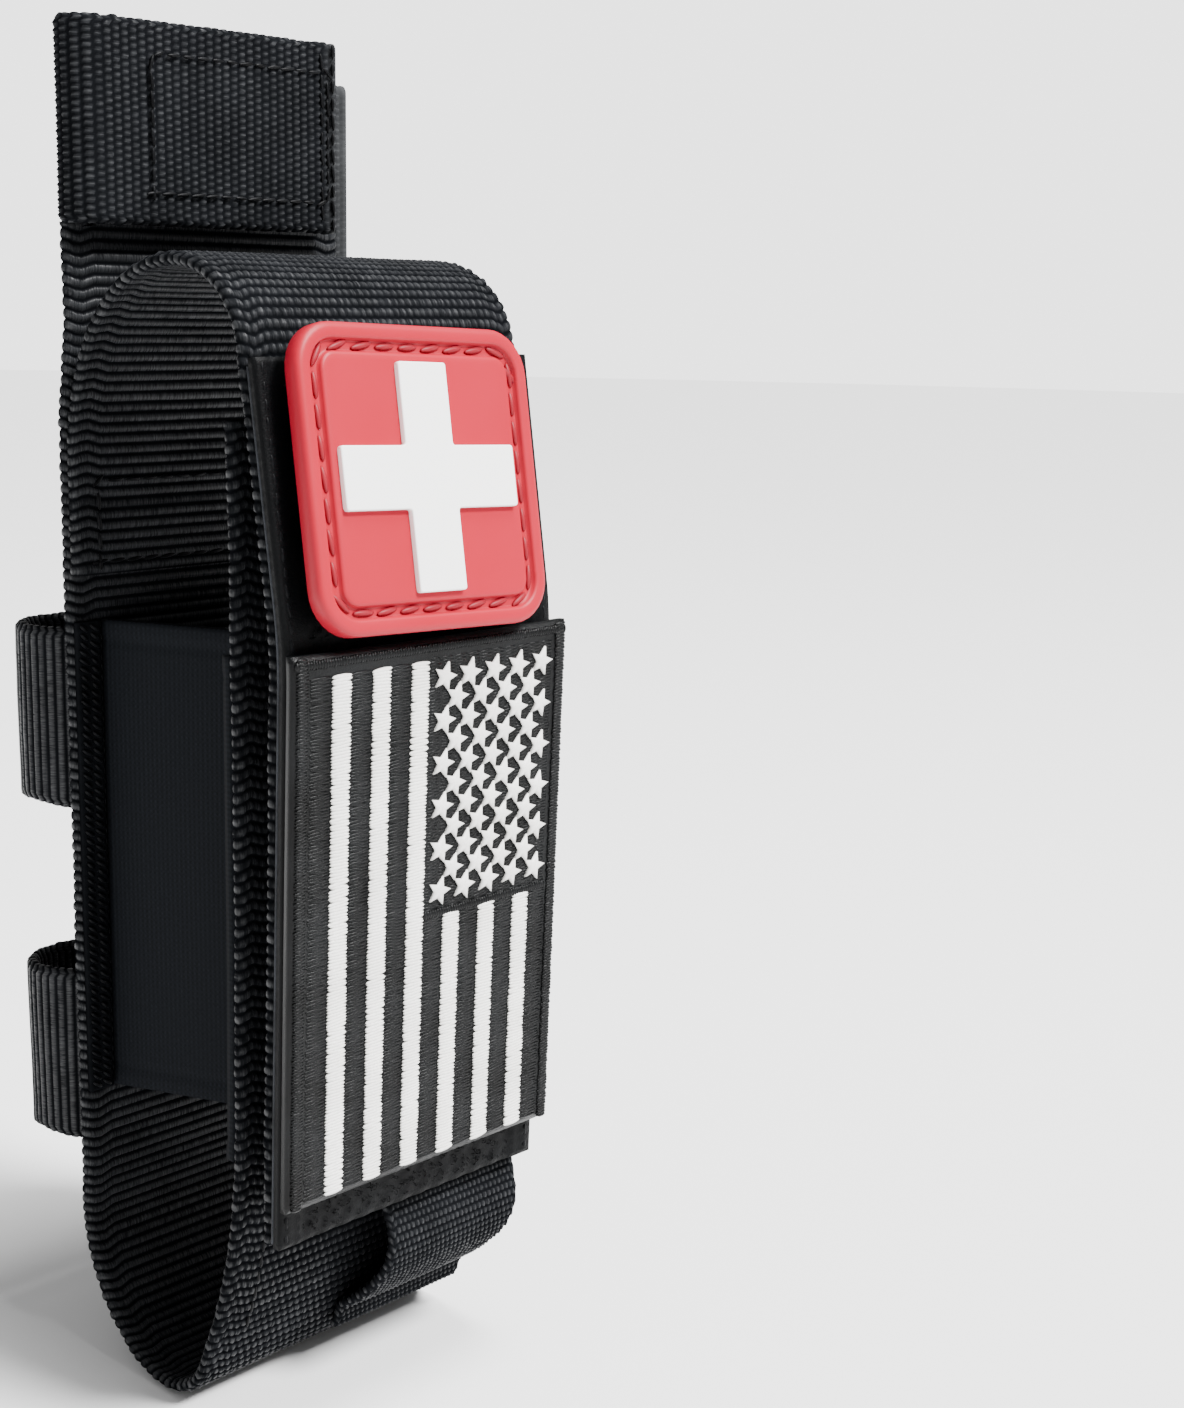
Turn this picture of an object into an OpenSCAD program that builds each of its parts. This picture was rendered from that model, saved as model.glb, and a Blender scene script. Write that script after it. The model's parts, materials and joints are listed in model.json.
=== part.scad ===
// Open-sided webbing holder for a folded tourniquet. One wide strap makes the back,
// the bottom fold and the inner front. A second strap is sewn to the back, arches
// over the mouth and hangs down the front as a flap with a loop-pile panel and two
// hook-backed patches. Two rings at the rear take a strap, and a tab closes round
// a second one at the top.
// Heights are measured up from the bottom fold and depths from the pocket's middle.
// The origin is then moved to the middle of the upper ring's flat rear face.

/* [Straps] */
// Width of the main strap and of the flap strap
strap_w = 50; // [40:0.5:60]
// Thickness of the heavy webbing
strap_t = 2; // [1.4:0.1:2.4]
// Thickness of the lighter webbing of rings, tab and marker loop
light_t = 1.8; // [1.2:0.1:2]

/* [Pocket] */
// Depth of the back strap's middle behind the pocket's middle
back_y = 24; // [20:0.5:29]
// Depth of the inner front's middle in front of the pocket's middle
front_y = 16.4; // [13:0.4:20]
// Height at which the bottom fold begins
fold_z = 38; // [32:0.5:46]
// Height of the inner front's upper edge
mouth_z = 149; // [124:1:152]

/* [Flap] */
// Depth of the flap strap in front of the pocket's middle
flap_y = 22; // [20:0.5:27]
// Depth of the flap's strap where the arch ends
flap_top_y = 19; // [18.5:0.5:22]
// Depth where the flap bends, between its two patches
flap_knee_y = 25; // [23:0.5:26]
// Height at which the arch over the mouth meets the hanging flap
flap_top_z = 157; // [152:1:170]
// Height at which the arch leaves the back strap
arch_back_z = 142; // [136:1:146]
// Rise of the arch over the mouth
arch_rise = 20; // [17:0.5:24]
// Length of flap strap sewn flat to the back strap
arch_seam_h = 18; // [10:1:22]

/* [Loop panel] */
// Height of the panel's lower edge
panel_z = 33; // [28:1:39]
// Height of the panel
panel_h = 124; // [100:1:124]
// Thickness of the panel
panel_t = 1.8; // [1.2:0.1:2.4]
// Length of each slit in the panel
slit_l = 28.5; // [20:0.5:34]
// Height of each slit
slit_h = 1.2; // [0.8:0.1:2]
// Distance from slit to slit
slit_pitch = 26.2; // [20:0.2:28]

/* [Sleeve] */
// Height of the elastic sleeve
sleeve_h = 74; // [50:1:80]
// Thickness of the elastic
sleeve_t = 1.4; // [0.8:0.1:1.8]

/* [Rear rings] */
// Height of each ring, the width of its webbing
ring_h = 28; // [20:1:32]
// Depth of each ring behind the back strap
ring_d = 16; // [12:0.5:20]
// How far each ring stands past the back strap's edges
ring_over = 2; // [0:0.5:3]
// Height of the upper ring's middle
upper_ring_z = 101.5; // [95:0.5:110]
// Height of the lower ring's middle
lower_ring_z = 47.5; // [42:0.5:52]

/* [Top tab] */
// Height of the tab, the width of its webbing
tab_h = 28.5; // [22:0.5:34]
// Height of the tab's lower edge
tab_z = 175; // [174.5:0.5:180]
// How far the base strap stands past the main strap's right edge
base_over = 4; // [1:0.5:6]
// How far the tab's free end stops short of the main strap's right edge
tab_short = 3.5; // [1:0.5:8]

/* [Cross patch] */
// Width of the cross patch
cross_w = 42; // [34:0.5:50]
// Height of the cross patch
cross_h = 42; // [34:0.5:42]
// Height of its lower edge
cross_z = 119.3; // [119.3:0.1:122]
// How many degrees more than the flap the patch leans back
cross_lift = 2.5; // [0:0.5:4]
// Thickness of its body
cross_t = 3; // [2.2:0.1:4]
// Length of the raised cross's arms, tip to tip
emblem_l = 31.5; // [22:0.5:32]
// Width of the raised cross's arms
emblem_w = 8.7; // [6:0.1:12]

/* [Flag patch] */
// Width of the flag patch
flag_w = 51.5; // [40:0.5:54]
// Height of the flag patch
flag_h = 78.5; // [60:0.5:78.5]
// Height of its lower edge
flag_z = 40.2; // [34:0.1:40.2]
// Thickness of its cloth
flag_t = 1.5; // [1:0.1:2]

/* [Hidden] */

// Clearances: between sewn layers, between curved ones, between pieces that part,
// and at the folds
seam_gap = 0.05;
curve_gap = 0.2;
rest_gap = 0.3;
fold_gap = 0.3;
// Hook tape, thread and steps along a curved strap
hook_t = 1.2;
tape_t = 1;
thread_w = 0.8;
thread_t = 0.4;
curve_steps = 5;

half_w = strap_w / 2;
half_t = strap_t / 2;
ring_back_y = back_y + half_t + seam_gap + ring_d;
sleeve_z = fold_z + 5;

// ---- Curves in the side view, as [depth, height] ----

function unit(v) = v / norm(v);
function heading(p, i) = unit(p[min(i + 1, len(p) - 1)] - p[max(i - 1, 0)]);
function bezier(a, b, c, d, t) =
    pow(1 - t, 3) * a + 3 * t * pow(1 - t, 2) * b + 3 * t * t * (1 - t) * c + pow(t, 3) * d;
// A smooth curve through knots, with handles a third of each stretch long
function smooth(p) = concat([for (i = [0:len(p) - 2])
    let (reach = norm(p[i + 1] - p[i]) / 3,
         from = p[i] + reach * heading(p, i),
         to = p[i + 1] - reach * heading(p, i + 1))
    for (s = [0:curve_steps - 1]) bezier(p[i], from, to, p[i + 1], s / curve_steps)],
    [p[len(p) - 1]]);
// The curve moved sideways, to the left of its direction when d is negative
function beside(p, d) = [for (i = [0:len(p) - 1])
    let (h = heading(p, i)) p[i] + d * [h[1], -h[0]]];
function slice(p, from, to) = [for (i = [from:to]) p[i]];
function backwards(p) = [for (i = [len(p) - 1:-1:0]) p[i]];
function mix(a, b, t) = a + (b - a) * t;

// Main strap: down the back, round the bottom fold and up the inner front
tail_lean = 2;
tail_z = tab_z + tab_h - 2;
mid_y = (back_y - front_y) / 2;
half_d = (back_y + front_y) / 2;
fold_outline = [[0.98, 0.5], [0.62, 0.17], [0.1, 0.03], [-0.35, 0.1], [-0.6, 0.34],
    [-0.78, 0.62], [-0.93, 1]];
main_knots = concat(
    [[back_y - tail_lean, tail_z], [back_y - tail_lean, tail_z - 12],
     [back_y - tail_lean, tab_z - 7], [back_y - tail_lean, tab_z - 13],
     [back_y - tail_lean / 2, tab_z - 21], [back_y, tab_z - 29],
     [back_y, tab_z - 45], [back_y, fold_z + 22],
     [back_y, fold_z + 2], [back_y, fold_z - 5]],
    [for (k = fold_outline) [mid_y + half_d * k[0], fold_z * k[1]]],
    [[-front_y + 0.4, fold_z + 22], [-front_y, mix(fold_z, mouth_z, 0.5)],
     [-front_y, mouth_z - 20], [-front_y + 0.6, mouth_z]]);
main_path = smooth(main_knots);
fold_knot = 10;
front_knot = fold_knot + len(fold_outline);

// Flap strap: up the back strap's inner face, over the mouth and down the front
arch_y = back_y - strap_t - seam_gap;
arch_mid_y = (arch_y - flap_top_y) / 2;
arch_half_d = (arch_y + flap_top_y) / 2;
knee_round = 1;
bow_step = 4;
arch_points = [for (a = [0:7.5:180])
    [arch_mid_y + arch_half_d * cos(a),
     mix(arch_back_z, flap_top_z, a / 180) + arch_rise * sin(a)]];
hang_points = [for (z = [flap_top_z - bow_step:-bow_step:panel_z + 1])
    [-flap_depth(z), z]];
// Two straight stretches, above and below the knee, with a rounded bend between them
function flap_depth(z) =
    let (above = mix(flap_knee_y, flap_top_y, (z - cross_z) / (flap_top_z - cross_z)),
         below = mix(flap_knee_y, flap_y, (cross_z - z) / (cross_z - panel_z)))
    min(above, below) - pow(max(0, knee_round - abs(above - below)), 2) / (4 * knee_round);
flap_path = concat([[arch_y, arch_back_z - arch_seam_h], [arch_y, arch_back_z - 2]],
    arch_points, hang_points, [[-flap_depth(panel_z), panel_z]]);
// The flap bends where the arch starts to fall, this many points along the path
hinge_point = 2 + 16;
hinge_heading = heading(flap_path, hinge_point);
// The hanging flap at a height: its depth at a distance outside the strap's middle
function hang_at(z, out) =
    let (h = unit([flap_depth(z + 1) - flap_depth(z - 1), -2]))
    [-flap_depth(z), z] + out * [h[1], -h[0]];
function hang_line(from, to, out) =
    let (count = max(2, ceil((to - from) / bow_step)))
    [for (i = [0:count]) hang_at(mix(from, to, i / count), out)];
backing_t = 0.4;
backing_out = half_t + seam_gap;
panel_out = backing_out + backing_t + seam_gap;
patch_out = panel_out + panel_t + rest_gap;

// ---- Building blocks ----

// Everything is drawn from the bottom fold and moved to the upper ring's rear face
module placed() {
    translate([0, -ring_back_y, -upper_ring_z]) children();
}

// A side-view outline pulled out across the holder, from x0 to x1
module across(x0, x1) {
    translate([x0, 0, 0]) rotate([90, 0, 90]) linear_extrude(x1 - x0) children();
}

// A layer between two distances beside a curve
module layer(path, near, far, x0, x1) {
    across(x0, x1) polygon(concat(beside(path, near), backwards(beside(path, far))));
}

// A layer on the hanging flap, between two heights and two distances outside it
module hung(z0, z1, near, far, x0, x1) {
    across(x0, x1)
        polygon(concat(hang_line(z0, z1, near), backwards(hang_line(z0, z1, far))));
}

module box(low, high) {
    translate(low) cube(high - low);
}

// A rectangle of thread seen from the front, on a face at depth y, facing -Y
module thread_frame(x0, x1, z0, z1, y) {
    difference() {
        box([x0, y - thread_t, z0], [x1, y, z1]);
        box([x0 + thread_w, y - 2 * thread_t, z0 + thread_w],
            [x1 - thread_w, y + thread_t, z1 - thread_w]);
    }
}

module rounded_square(w, h, r) {
    square([w - 2 * r, h], center = true);
    square([w, h - 2 * r], center = true);
    for (x = [-1, 1], y = [-1, 1])
        translate([x * (w / 2 - r), y * (h / 2 - r)]) circle(r = r, $fn = 48);
}

// ---- Main strap and the pieces sewn to it ----

module main_strap() {
    // The tail's left edge is cut back to lie inside the tab's fold
    color("#24262a") placed()
        difference() {
            layer(main_path, -half_t, half_t, -half_w, half_w);
            box([-half_w - 1, tail_y - strap_t, tab_z - 0.5],
                [fold_x + seam_gap, tail_y + strap_t, tail_z + 1]);
        }
}

module flap_root_strap() {
    // The arch's end stays half the fold gap short of the hinge line
    root_path = concat(slice(flap_path, 0, hinge_point - 1),
        [flap_path[hinge_point] - hinge_heading * fold_gap / 2]);
    color("#2a2c30") placed() layer(root_path, -half_t, half_t, -half_w, half_w);
}

module flap_root_stitching() {
    inset = 4;
    y = arch_y - half_t - seam_gap;
    color("#3a3c40") placed() {
        thread_frame(-half_w + inset, half_w - inset, arch_back_z - arch_seam_h + 2,
            arch_back_z - 4, y);
    }
}

module rear_ring(z) {
    r = ring_d / 2;
    reach = half_w + ring_over - r;
    color("#303236") placed()
        translate([0, ring_back_y - r, z - ring_h / 2]) linear_extrude(ring_h)
            difference() {
                union() {
                    square([2 * reach, ring_d], center = true);
                    for (x = [-1, 1]) translate([x * reach, 0]) circle(r = r, $fn = 64);
                }
                square([2 * reach, ring_d - 2 * light_t], center = true);
                for (x = [-1, 1]) translate([x * reach, 0])
                    circle(r = r - light_t, $fn = 64);
            }
}
module upper_rear_ring() { rear_ring(upper_ring_z); }
module lower_rear_ring() { rear_ring(lower_ring_z); }

module ring_stitching() {
    // Two rows through each ring, seen inside it on the layer that lies on the strap
    row_x = 9;
    y = back_y + half_t + seam_gap + light_t + seam_gap;
    color("#3a3c40") placed()
        for (z = [upper_ring_z, lower_ring_z], x = [-row_x, row_x])
            box([x - thread_w / 2, y, z - ring_h / 2 + 2],
                [x + thread_w / 2, y + thread_t, z + ring_h / 2 - 2]);
}

// ---- Elastic sleeve: a vee in plan, from the back strap's edges to the inner front ----

edge_tape_w = 5;
edge_tape_in = half_t + seam_gap;
vee_front_x = 4;
vee_back_x = half_w - edge_tape_w;
front_slice_from = (front_knot - 1) * curve_steps;

module band_layer(near, far, z0, z1, x0, x1) {
    // Part of a layer along the inner front, cut level at two heights
    front_path = slice(main_path, front_slice_from, len(main_path) - 1);
    intersection() {
        layer(front_path, near, far, x0, x1);
        box([x0 - 1, -front_y - 15, z0], [x1 + 1, mid_y, z1]);
    }
}

module sleeve_front_band() {
    color("#1f2123") placed()
        band_layer(half_t + seam_gap, half_t + seam_gap + sleeve_t, sleeve_z,
            sleeve_z + sleeve_h, -half_w, half_w);
}

module sleeve_panel(side) {
    front_path = slice(main_path, front_slice_from, len(main_path) - 1);
    room = half_t + sleeve_t + 2 * seam_gap + rest_gap;
    back = back_y - half_t - rest_gap;
    run = unit([vee_front_x - vee_back_x, -front_y - back]);
    sideways = [run[1], -run[0]] * sleeve_t;
    start = [vee_back_x, back];
    color("#202326") placed()
        intersection() {
            translate([0, 0, sleeve_z]) linear_extrude(sleeve_h)
                polygon([for (p = [start, start + sideways,
                    start + sideways + run * 60, start + run * 60])
                    [side * p[0], p[1]]]);
            across(-half_w, half_w)
                polygon(concat(beside(front_path, room), [[back, mouth_z], [back, 0]]));
        }
}
module sleeve_left_panel() { sleeve_panel(-1); }
module sleeve_right_panel() { sleeve_panel(1); }

module sleeve_edge_tape(side) {
    x0 = side > 0 ? half_w - edge_tape_w + 0.6 : -half_w + 0.4;
    y = back_y - half_t - seam_gap;
    color("#2e3034") placed()
        box([x0, y - tape_t, sleeve_z], [x0 + edge_tape_w - 1, y, sleeve_z + sleeve_h]);
}
module sleeve_left_edge_tape() { sleeve_edge_tape(-1); }
module sleeve_right_edge_tape() { sleeve_edge_tape(1); }

module sleeve_stitching() {
    y = back_y - half_t - tape_t - 2 * seam_gap;
    color("#3f4145") placed()
        for (side = [-1, 1])
            translate([side * (half_w - edge_tape_w / 2 + 0.1), 0, 0])
                box([-thread_w / 2, y - thread_t, sleeve_z + 2],
                    [thread_w / 2, y, sleeve_z + sleeve_h - 2]);
}

// ---- Closure tapes, marker loop ----

closure_w = 38;
closure_z = 70;
closure_h = 66;

module closure_hook_tape() {
    color("#191a1c") placed()
        band_layer(-half_t - seam_gap, -half_t - seam_gap - hook_t, closure_z,
            closure_z + closure_h, -closure_w / 2, closure_w / 2);
}

// The loop leaves the inner front, stands out below the panel and joins the fold
marker_x = -1.5;
marker_lie = half_t + curve_gap + light_t / 2;
marker_top = slice(beside(main_path, -marker_lie),
    (front_knot - 1) * curve_steps, (front_knot - 1) * curve_steps + 2);
marker_bottom = slice(beside(main_path, -marker_lie),
    (fold_knot + 3) * curve_steps + 2, (fold_knot + 3) * curve_steps + 4);
marker_front_y = flap_y - 0.4;
marker_knots = concat(backwards(marker_top),
    [[-marker_front_y + 2, fold_z * 0.87], [-marker_front_y, fold_z * 0.68],
     [-marker_front_y + 0.4, fold_z * 0.59], [-marker_front_y + 2.2, fold_z * 0.5],
     [-marker_front_y + 5.4, fold_z * 0.41], [-marker_front_y + 8.8, fold_z * 0.33]],
    backwards(marker_bottom));
marker_path = smooth(marker_knots);

module marker_loop() {
    color("#2b2d31") placed()
        layer(marker_path, -light_t / 2, light_t / 2, marker_x, half_w);
}

module marker_loop_stitching() {
    flange = slice(main_path, front_slice_from, front_slice_from + 2);
    near = half_t + light_t + 2 * curve_gap;
    color("#3f4145") placed()
        layer(flange, -near, -near - thread_t, marker_x + 2, half_w - 2);
}

// ---- Top tab: base strap behind the tail, fold at the left, front layer that opens ----

tail_y = back_y - tail_lean;
base_y = tail_y + half_t + seam_gap;
patch_y = tail_y - half_t - seam_gap - tape_t;
tab_hook_y = patch_y - rest_gap - hook_t;
tab_y = tab_hook_y - seam_gap - light_t;
fold_r = (base_y + light_t - tab_y) / 2;
fold_mid_y = (base_y + light_t + tab_y) / 2;
fold_over = 0.6;
fold_x = -half_w - fold_over + fold_r;
base_drop = 5.5;

module tab_base_strap() {
    color("#2a2c30") placed() {
        translate([0, base_y + light_t, 0]) rotate([90, 0, 0]) linear_extrude(light_t)
            polygon([[fold_x, tab_z], [half_w + base_over, tab_z - base_drop],
                [half_w + base_over, tab_z + tab_h - base_drop], [fold_x, tab_z + tab_h]]);
        translate([fold_x, fold_mid_y, tab_z]) linear_extrude(tab_h)
            difference() {
                circle(r = fold_r, $fn = 64);
                circle(r = fold_r - light_t, $fn = 64);
                translate([0, -2 * fold_r]) square(4 * fold_r);
                // Clear of the tab's end at the hinge line
                translate([-fold_gap / 2, -2 * fold_r]) square([fold_r, 2 * fold_r]);
            }
    }
}

module tab_loop_patch() {
    inset = 3;
    color("#202225") placed()
        box([-half_w + inset + 2, patch_y, tab_z + inset],
            [half_w - inset, patch_y + tape_t, tail_z - inset]);
}

module tab_base_stitching() {
    y = base_y + light_t + seam_gap + thread_t;
    inset = 4;
    color("#3a3c40") placed()
        thread_frame(-half_w + inset, half_w - inset, tab_z + 3, tab_z + tab_h - 8, y);
}

module tab_strap() {
    color("#2f3135") placed()
        box([fold_x + fold_gap / 2, tab_y, tab_z],
            [half_w - tab_short, tab_y + light_t, tab_z + tab_h]);
}

tab_stitch_x0 = -13;
tab_stitch_inset = 4.5;

module tab_hook_patch() {
    color("#191a1c") placed()
        box([tab_stitch_x0 - 3, tab_hook_y, tab_z + 2],
            [half_w - tab_short - 1, tab_hook_y + hook_t, tab_z + tab_h - 2]);
}

module tab_box_stitching() {
    color("#44464a") placed()
        thread_frame(tab_stitch_x0, half_w - tab_short - 2, tab_z + tab_stitch_inset,
            tab_z + tab_h - tab_stitch_inset, tab_y - seam_gap);
}

// ---- Flap: strap, panel with slits, closure tape ----

module flap_strap() {
    hanging = concat([flap_path[hinge_point] + hinge_heading * fold_gap / 2],
        slice(flap_path, hinge_point + 1, len(flap_path) - 1));
    color("#2a2c30") placed() layer(hanging, -half_t, half_t, -half_w, half_w);
}

module panel_backing() {
    color("#55585c") placed()
        hung(panel_z + 0.5, panel_z + panel_h - 1, backing_out, backing_out + backing_t,
            -half_w, half_w);
}

selvedge_w = 4.5;
slit_x = selvedge_w / 2 + 1;
slit_z = panel_z + 27.5;
slit_count = 4;

module loop_panel() {
    color("#17181a") placed()
        difference() {
            hung(panel_z, panel_z + panel_h, panel_out, panel_out + panel_t,
                -half_w, half_w);
            for (i = [0:slit_count - 1])
                translate([slit_x, -flap_y - panel_out, slit_z + i * slit_pitch])
                    cube([slit_l, 20, slit_h], center = true);
        }
}

module panel_stitching() {
    // One row down each side, in front of the pile
    near = panel_out + panel_t + seam_gap;
    row = 0.8;
    color("#3a3c40") placed()
        for (x = [-half_w + row, half_w - row - thread_w])
            hung(panel_z + 2, cross_z - 1.5, near, near + 0.2, x, x + thread_w);
}

module closure_loop_tape() {
    near = half_t + seam_gap;
    color("#202225") placed()
        hung(closure_z, closure_z + closure_h, -near - tape_t, -near,
            -closure_w / 2, closure_w / 2);
}

// ---- Cross patch: a flat moulded square, leaning with the flap ----

cross_x = -1.6;
cross_turn = -2.1;
cross_corner = 6.5;
cross_rim = 2.3;
cross_groove_w = 1.7;
cross_groove_d = 0.9;
emblem_t = 0.8;
cross_foot = hang_at(cross_z, patch_out);
cross_head = hang_at(flap_top_z, patch_out);
cross_drop = norm(cross_head - cross_foot);
cross_lean = cross_lift + atan2(cross_head[0] - cross_foot[0], cross_head[1] - cross_foot[1]);

// Draws in the patch's own plane: x to the right, y up, z out of the patch's face
module on_cross_patch(out) {
    placed() translate([cross_x, cross_head[0], cross_head[1]]) rotate([-cross_lean, 0, 0])
        translate([0, -out, cross_h / 2 - cross_drop]) rotate([90, 0, 0])
            rotate([0, 0, cross_turn]) children();
}

module cross_patch_hook() {
    color("#191a1c") on_cross_patch(0)
        linear_extrude(hook_t) rounded_square(cross_w - 2, cross_h - 2, cross_corner - 1);
}

module cross_patch_base() {
    groove_out = cross_w - 2 * cross_rim;
    groove_in = groove_out - 2 * cross_groove_w;
    trim = cross_w - cross_h;
    color("#e8505a") on_cross_patch(hook_t + seam_gap)
        difference() {
            linear_extrude(cross_t) rounded_square(cross_w, cross_h, cross_corner);
            translate([0, 0, cross_t - cross_groove_d]) linear_extrude(2)
                difference() {
                    rounded_square(groove_out, groove_out - trim, cross_corner - cross_rim);
                    rounded_square(groove_in, groove_in - trim,
                        cross_corner - cross_rim - cross_groove_w);
                }
        }
}

module cross_patch_emblem() {
    color("#f8f8f6") on_cross_patch(hook_t + seam_gap + cross_t + seam_gap)
        linear_extrude(emblem_t) {
            square([emblem_l, emblem_w], center = true);
            square([emblem_w, emblem_l], center = true);
        }
}

module cross_patch_moulded_stitches() {
    count = 7;
    long = 3;
    lift = hook_t + 2 * seam_gap + cross_t - cross_groove_d;
    reach = cross_w / 2 - cross_rim - cross_groove_w / 2;
    trim = (cross_w - cross_h) / 2;
    run = 2 * (cross_w / 2 - cross_corner);
    color("#d8323e") on_cross_patch(lift)
        for (side = [0:3]) rotate([0, 0, 90 * side])
            for (i = [0:count - 1])
                translate([mix(-run / 2 + long / 2, run / 2 - long / 2, i / (count - 1)),
                    reach - (side % 2 == 0 ? trim : 0), 0.3])
                    cube([long, 0.9, 0.6], center = true);
}

// ---- Flag patch: embroidered cloth that follows the flap, stripes upright ----

flag_x = -0.7;
hem_left = 2.8;
hem_right = 2.7;
hem_top = 2.4;
hem_bottom = 0.6;
thread_proud = 0.4;
stripe_count = 13;
canton_stripes = 7;
canton_share = 0.49;
white_share = 0.96;
ground_out = patch_out + hook_t + seam_gap;
face_out = ground_out + flag_t + seam_gap;
flag_x0 = flag_x - flag_w / 2 + hem_left;
flag_x1 = flag_x + flag_w / 2 - hem_right;
flag_z0 = flag_z + hem_bottom;
flag_z1 = flag_z + flag_h - hem_top;
stripe_w = (flag_x1 - flag_x0) / stripe_count;
canton_x = flag_x1 - canton_stripes * stripe_w;
canton_z = flag_z1 - canton_share * (flag_z1 - flag_z0);

module flag_hook() {
    color("#191a1c") placed()
        hung(flag_z + 1, flag_z + flag_h - 1, patch_out, patch_out + hook_t,
            flag_x - flag_w / 2 + 1, flag_x + flag_w / 2 - 1);
}

module flag_ground() {
    color("#1c1e20") placed()
        hung(flag_z0 + seam_gap, flag_z1 - seam_gap, ground_out, ground_out + flag_t,
            flag_x0 + seam_gap, flag_x1 - seam_gap);
}

module flag_border() {
    color("#26282b") placed()
        difference() {
            hung(flag_z, flag_z + flag_h, ground_out, ground_out + flag_t + thread_proud,
                flag_x - flag_w / 2, flag_x + flag_w / 2);
            hung(flag_z0, flag_z1, ground_out - flag_t, ground_out + 2 * flag_t,
                flag_x0, flag_x1);
        }
}

module flag_canton() {
    color("#202224") placed()
        hung(canton_z, flag_z1 - 0.3, face_out, face_out + thread_proud / 2,
            canton_x + 0.3, flag_x1 - 0.3);
}

module flag_stripes() {
    // White stripes lie between black ones, and those beside the canton stop below it
    thin = (1 - white_share) / 2;
    color("#f4f4f0") placed()
        for (k = [1:2:stripe_count - 2])
            hung(flag_z0 + 0.2, k < stripe_count - canton_stripes ? flag_z1 - 0.3
                : canton_z - 0.9, face_out, face_out + thread_proud,
                flag_x0 + (k + thin) * stripe_w, flag_x0 + (k + 1 - thin) * stripe_w);
}

module star(r) {
    polygon([for (i = [0:9])
        let (a = 36 * i, s = i % 2 == 0 ? r : 0.42 * r) [s * cos(a), s * sin(a)]]);
}

module flag_stars() {
    rows = 11;
    row_stars = 5;
    star_r = 2;
    inset = 2.75;
    color("#f4f4f0") placed()
        for (row = [0:rows - 1]) {
            count = row_stars - row % 2;
            z = mix(flag_z1 - inset, canton_z + inset, row / (rows - 1));
            at = hang_at(z, face_out + thread_proud / 2 + 2 * seam_gap);
            step = (flag_x1 - canton_x - 2 * inset) / (row_stars - 1);
            for (i = [0:count - 1])
                translate([canton_x + inset + (i + (row % 2) / 2) * step, at[0], at[1]])
                    rotate([90 + hang_lean(z), 0, 0])
                        linear_extrude(thread_proud) star(star_r);
        }
}
function hang_lean(z) = atan2(flap_depth(z + 1) - flap_depth(z - 1), 2);

main_strap();
flap_root_strap();
flap_root_stitching();
upper_rear_ring();
lower_rear_ring();
ring_stitching();
sleeve_front_band();
sleeve_left_panel();
sleeve_right_panel();
sleeve_left_edge_tape();
sleeve_right_edge_tape();
sleeve_stitching();
closure_hook_tape();
marker_loop();
marker_loop_stitching();
tab_base_strap();
tab_loop_patch();
tab_base_stitching();
flap_strap();
panel_backing();
loop_panel();
panel_stitching();
closure_loop_tape();
tab_strap();
tab_hook_patch();
tab_box_stitching();
cross_patch_base();
cross_patch_emblem();
cross_patch_moulded_stitches();
cross_patch_hook();
flag_ground();
flag_border();
flag_canton();
flag_stripes();
flag_stars();
flag_hook();
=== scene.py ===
import json
import math

import bmesh
import bpy
import numpy as np
from mathutils import Matrix, Vector

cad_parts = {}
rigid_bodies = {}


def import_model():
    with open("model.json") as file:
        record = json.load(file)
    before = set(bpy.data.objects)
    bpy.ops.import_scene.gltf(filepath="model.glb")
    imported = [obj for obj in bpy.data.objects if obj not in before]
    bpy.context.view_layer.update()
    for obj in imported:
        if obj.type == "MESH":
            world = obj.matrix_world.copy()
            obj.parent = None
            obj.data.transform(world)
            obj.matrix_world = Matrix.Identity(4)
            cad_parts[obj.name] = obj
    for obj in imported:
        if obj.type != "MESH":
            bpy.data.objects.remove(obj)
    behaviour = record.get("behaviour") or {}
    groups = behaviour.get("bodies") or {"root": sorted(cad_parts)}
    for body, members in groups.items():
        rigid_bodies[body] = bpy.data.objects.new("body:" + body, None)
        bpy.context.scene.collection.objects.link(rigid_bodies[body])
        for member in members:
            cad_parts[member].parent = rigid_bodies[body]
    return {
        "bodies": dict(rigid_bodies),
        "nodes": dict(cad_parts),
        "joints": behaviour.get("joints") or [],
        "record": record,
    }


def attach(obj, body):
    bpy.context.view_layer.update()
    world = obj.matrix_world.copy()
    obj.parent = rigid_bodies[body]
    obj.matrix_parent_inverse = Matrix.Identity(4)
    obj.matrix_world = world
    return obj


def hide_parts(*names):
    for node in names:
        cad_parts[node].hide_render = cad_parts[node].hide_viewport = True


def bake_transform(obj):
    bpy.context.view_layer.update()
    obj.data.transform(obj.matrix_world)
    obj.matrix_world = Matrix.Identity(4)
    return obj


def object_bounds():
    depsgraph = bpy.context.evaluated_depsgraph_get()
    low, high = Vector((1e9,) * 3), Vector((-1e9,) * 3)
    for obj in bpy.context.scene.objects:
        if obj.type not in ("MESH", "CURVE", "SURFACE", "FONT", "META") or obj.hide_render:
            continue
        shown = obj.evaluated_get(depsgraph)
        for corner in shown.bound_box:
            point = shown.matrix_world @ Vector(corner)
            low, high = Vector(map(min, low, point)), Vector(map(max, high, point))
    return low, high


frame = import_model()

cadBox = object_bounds()

# Sizes are in millimetres, measured up from the bottom fold and out from the pocket's
# middle, and the two offsets carry them to the frame's origin on the upper ring.
mm = 0.001
originY = 41.05
originZ = 101.5
chance = np.random.default_rng(7)


def place(x, y, z):
    x, y, z = np.broadcast_arrays(x, y, z)
    return np.stack([x, y - originY, z - originZ], axis=-1) * mm


def fromSide(a, b, across):
    return place(across, a, b)


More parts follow.
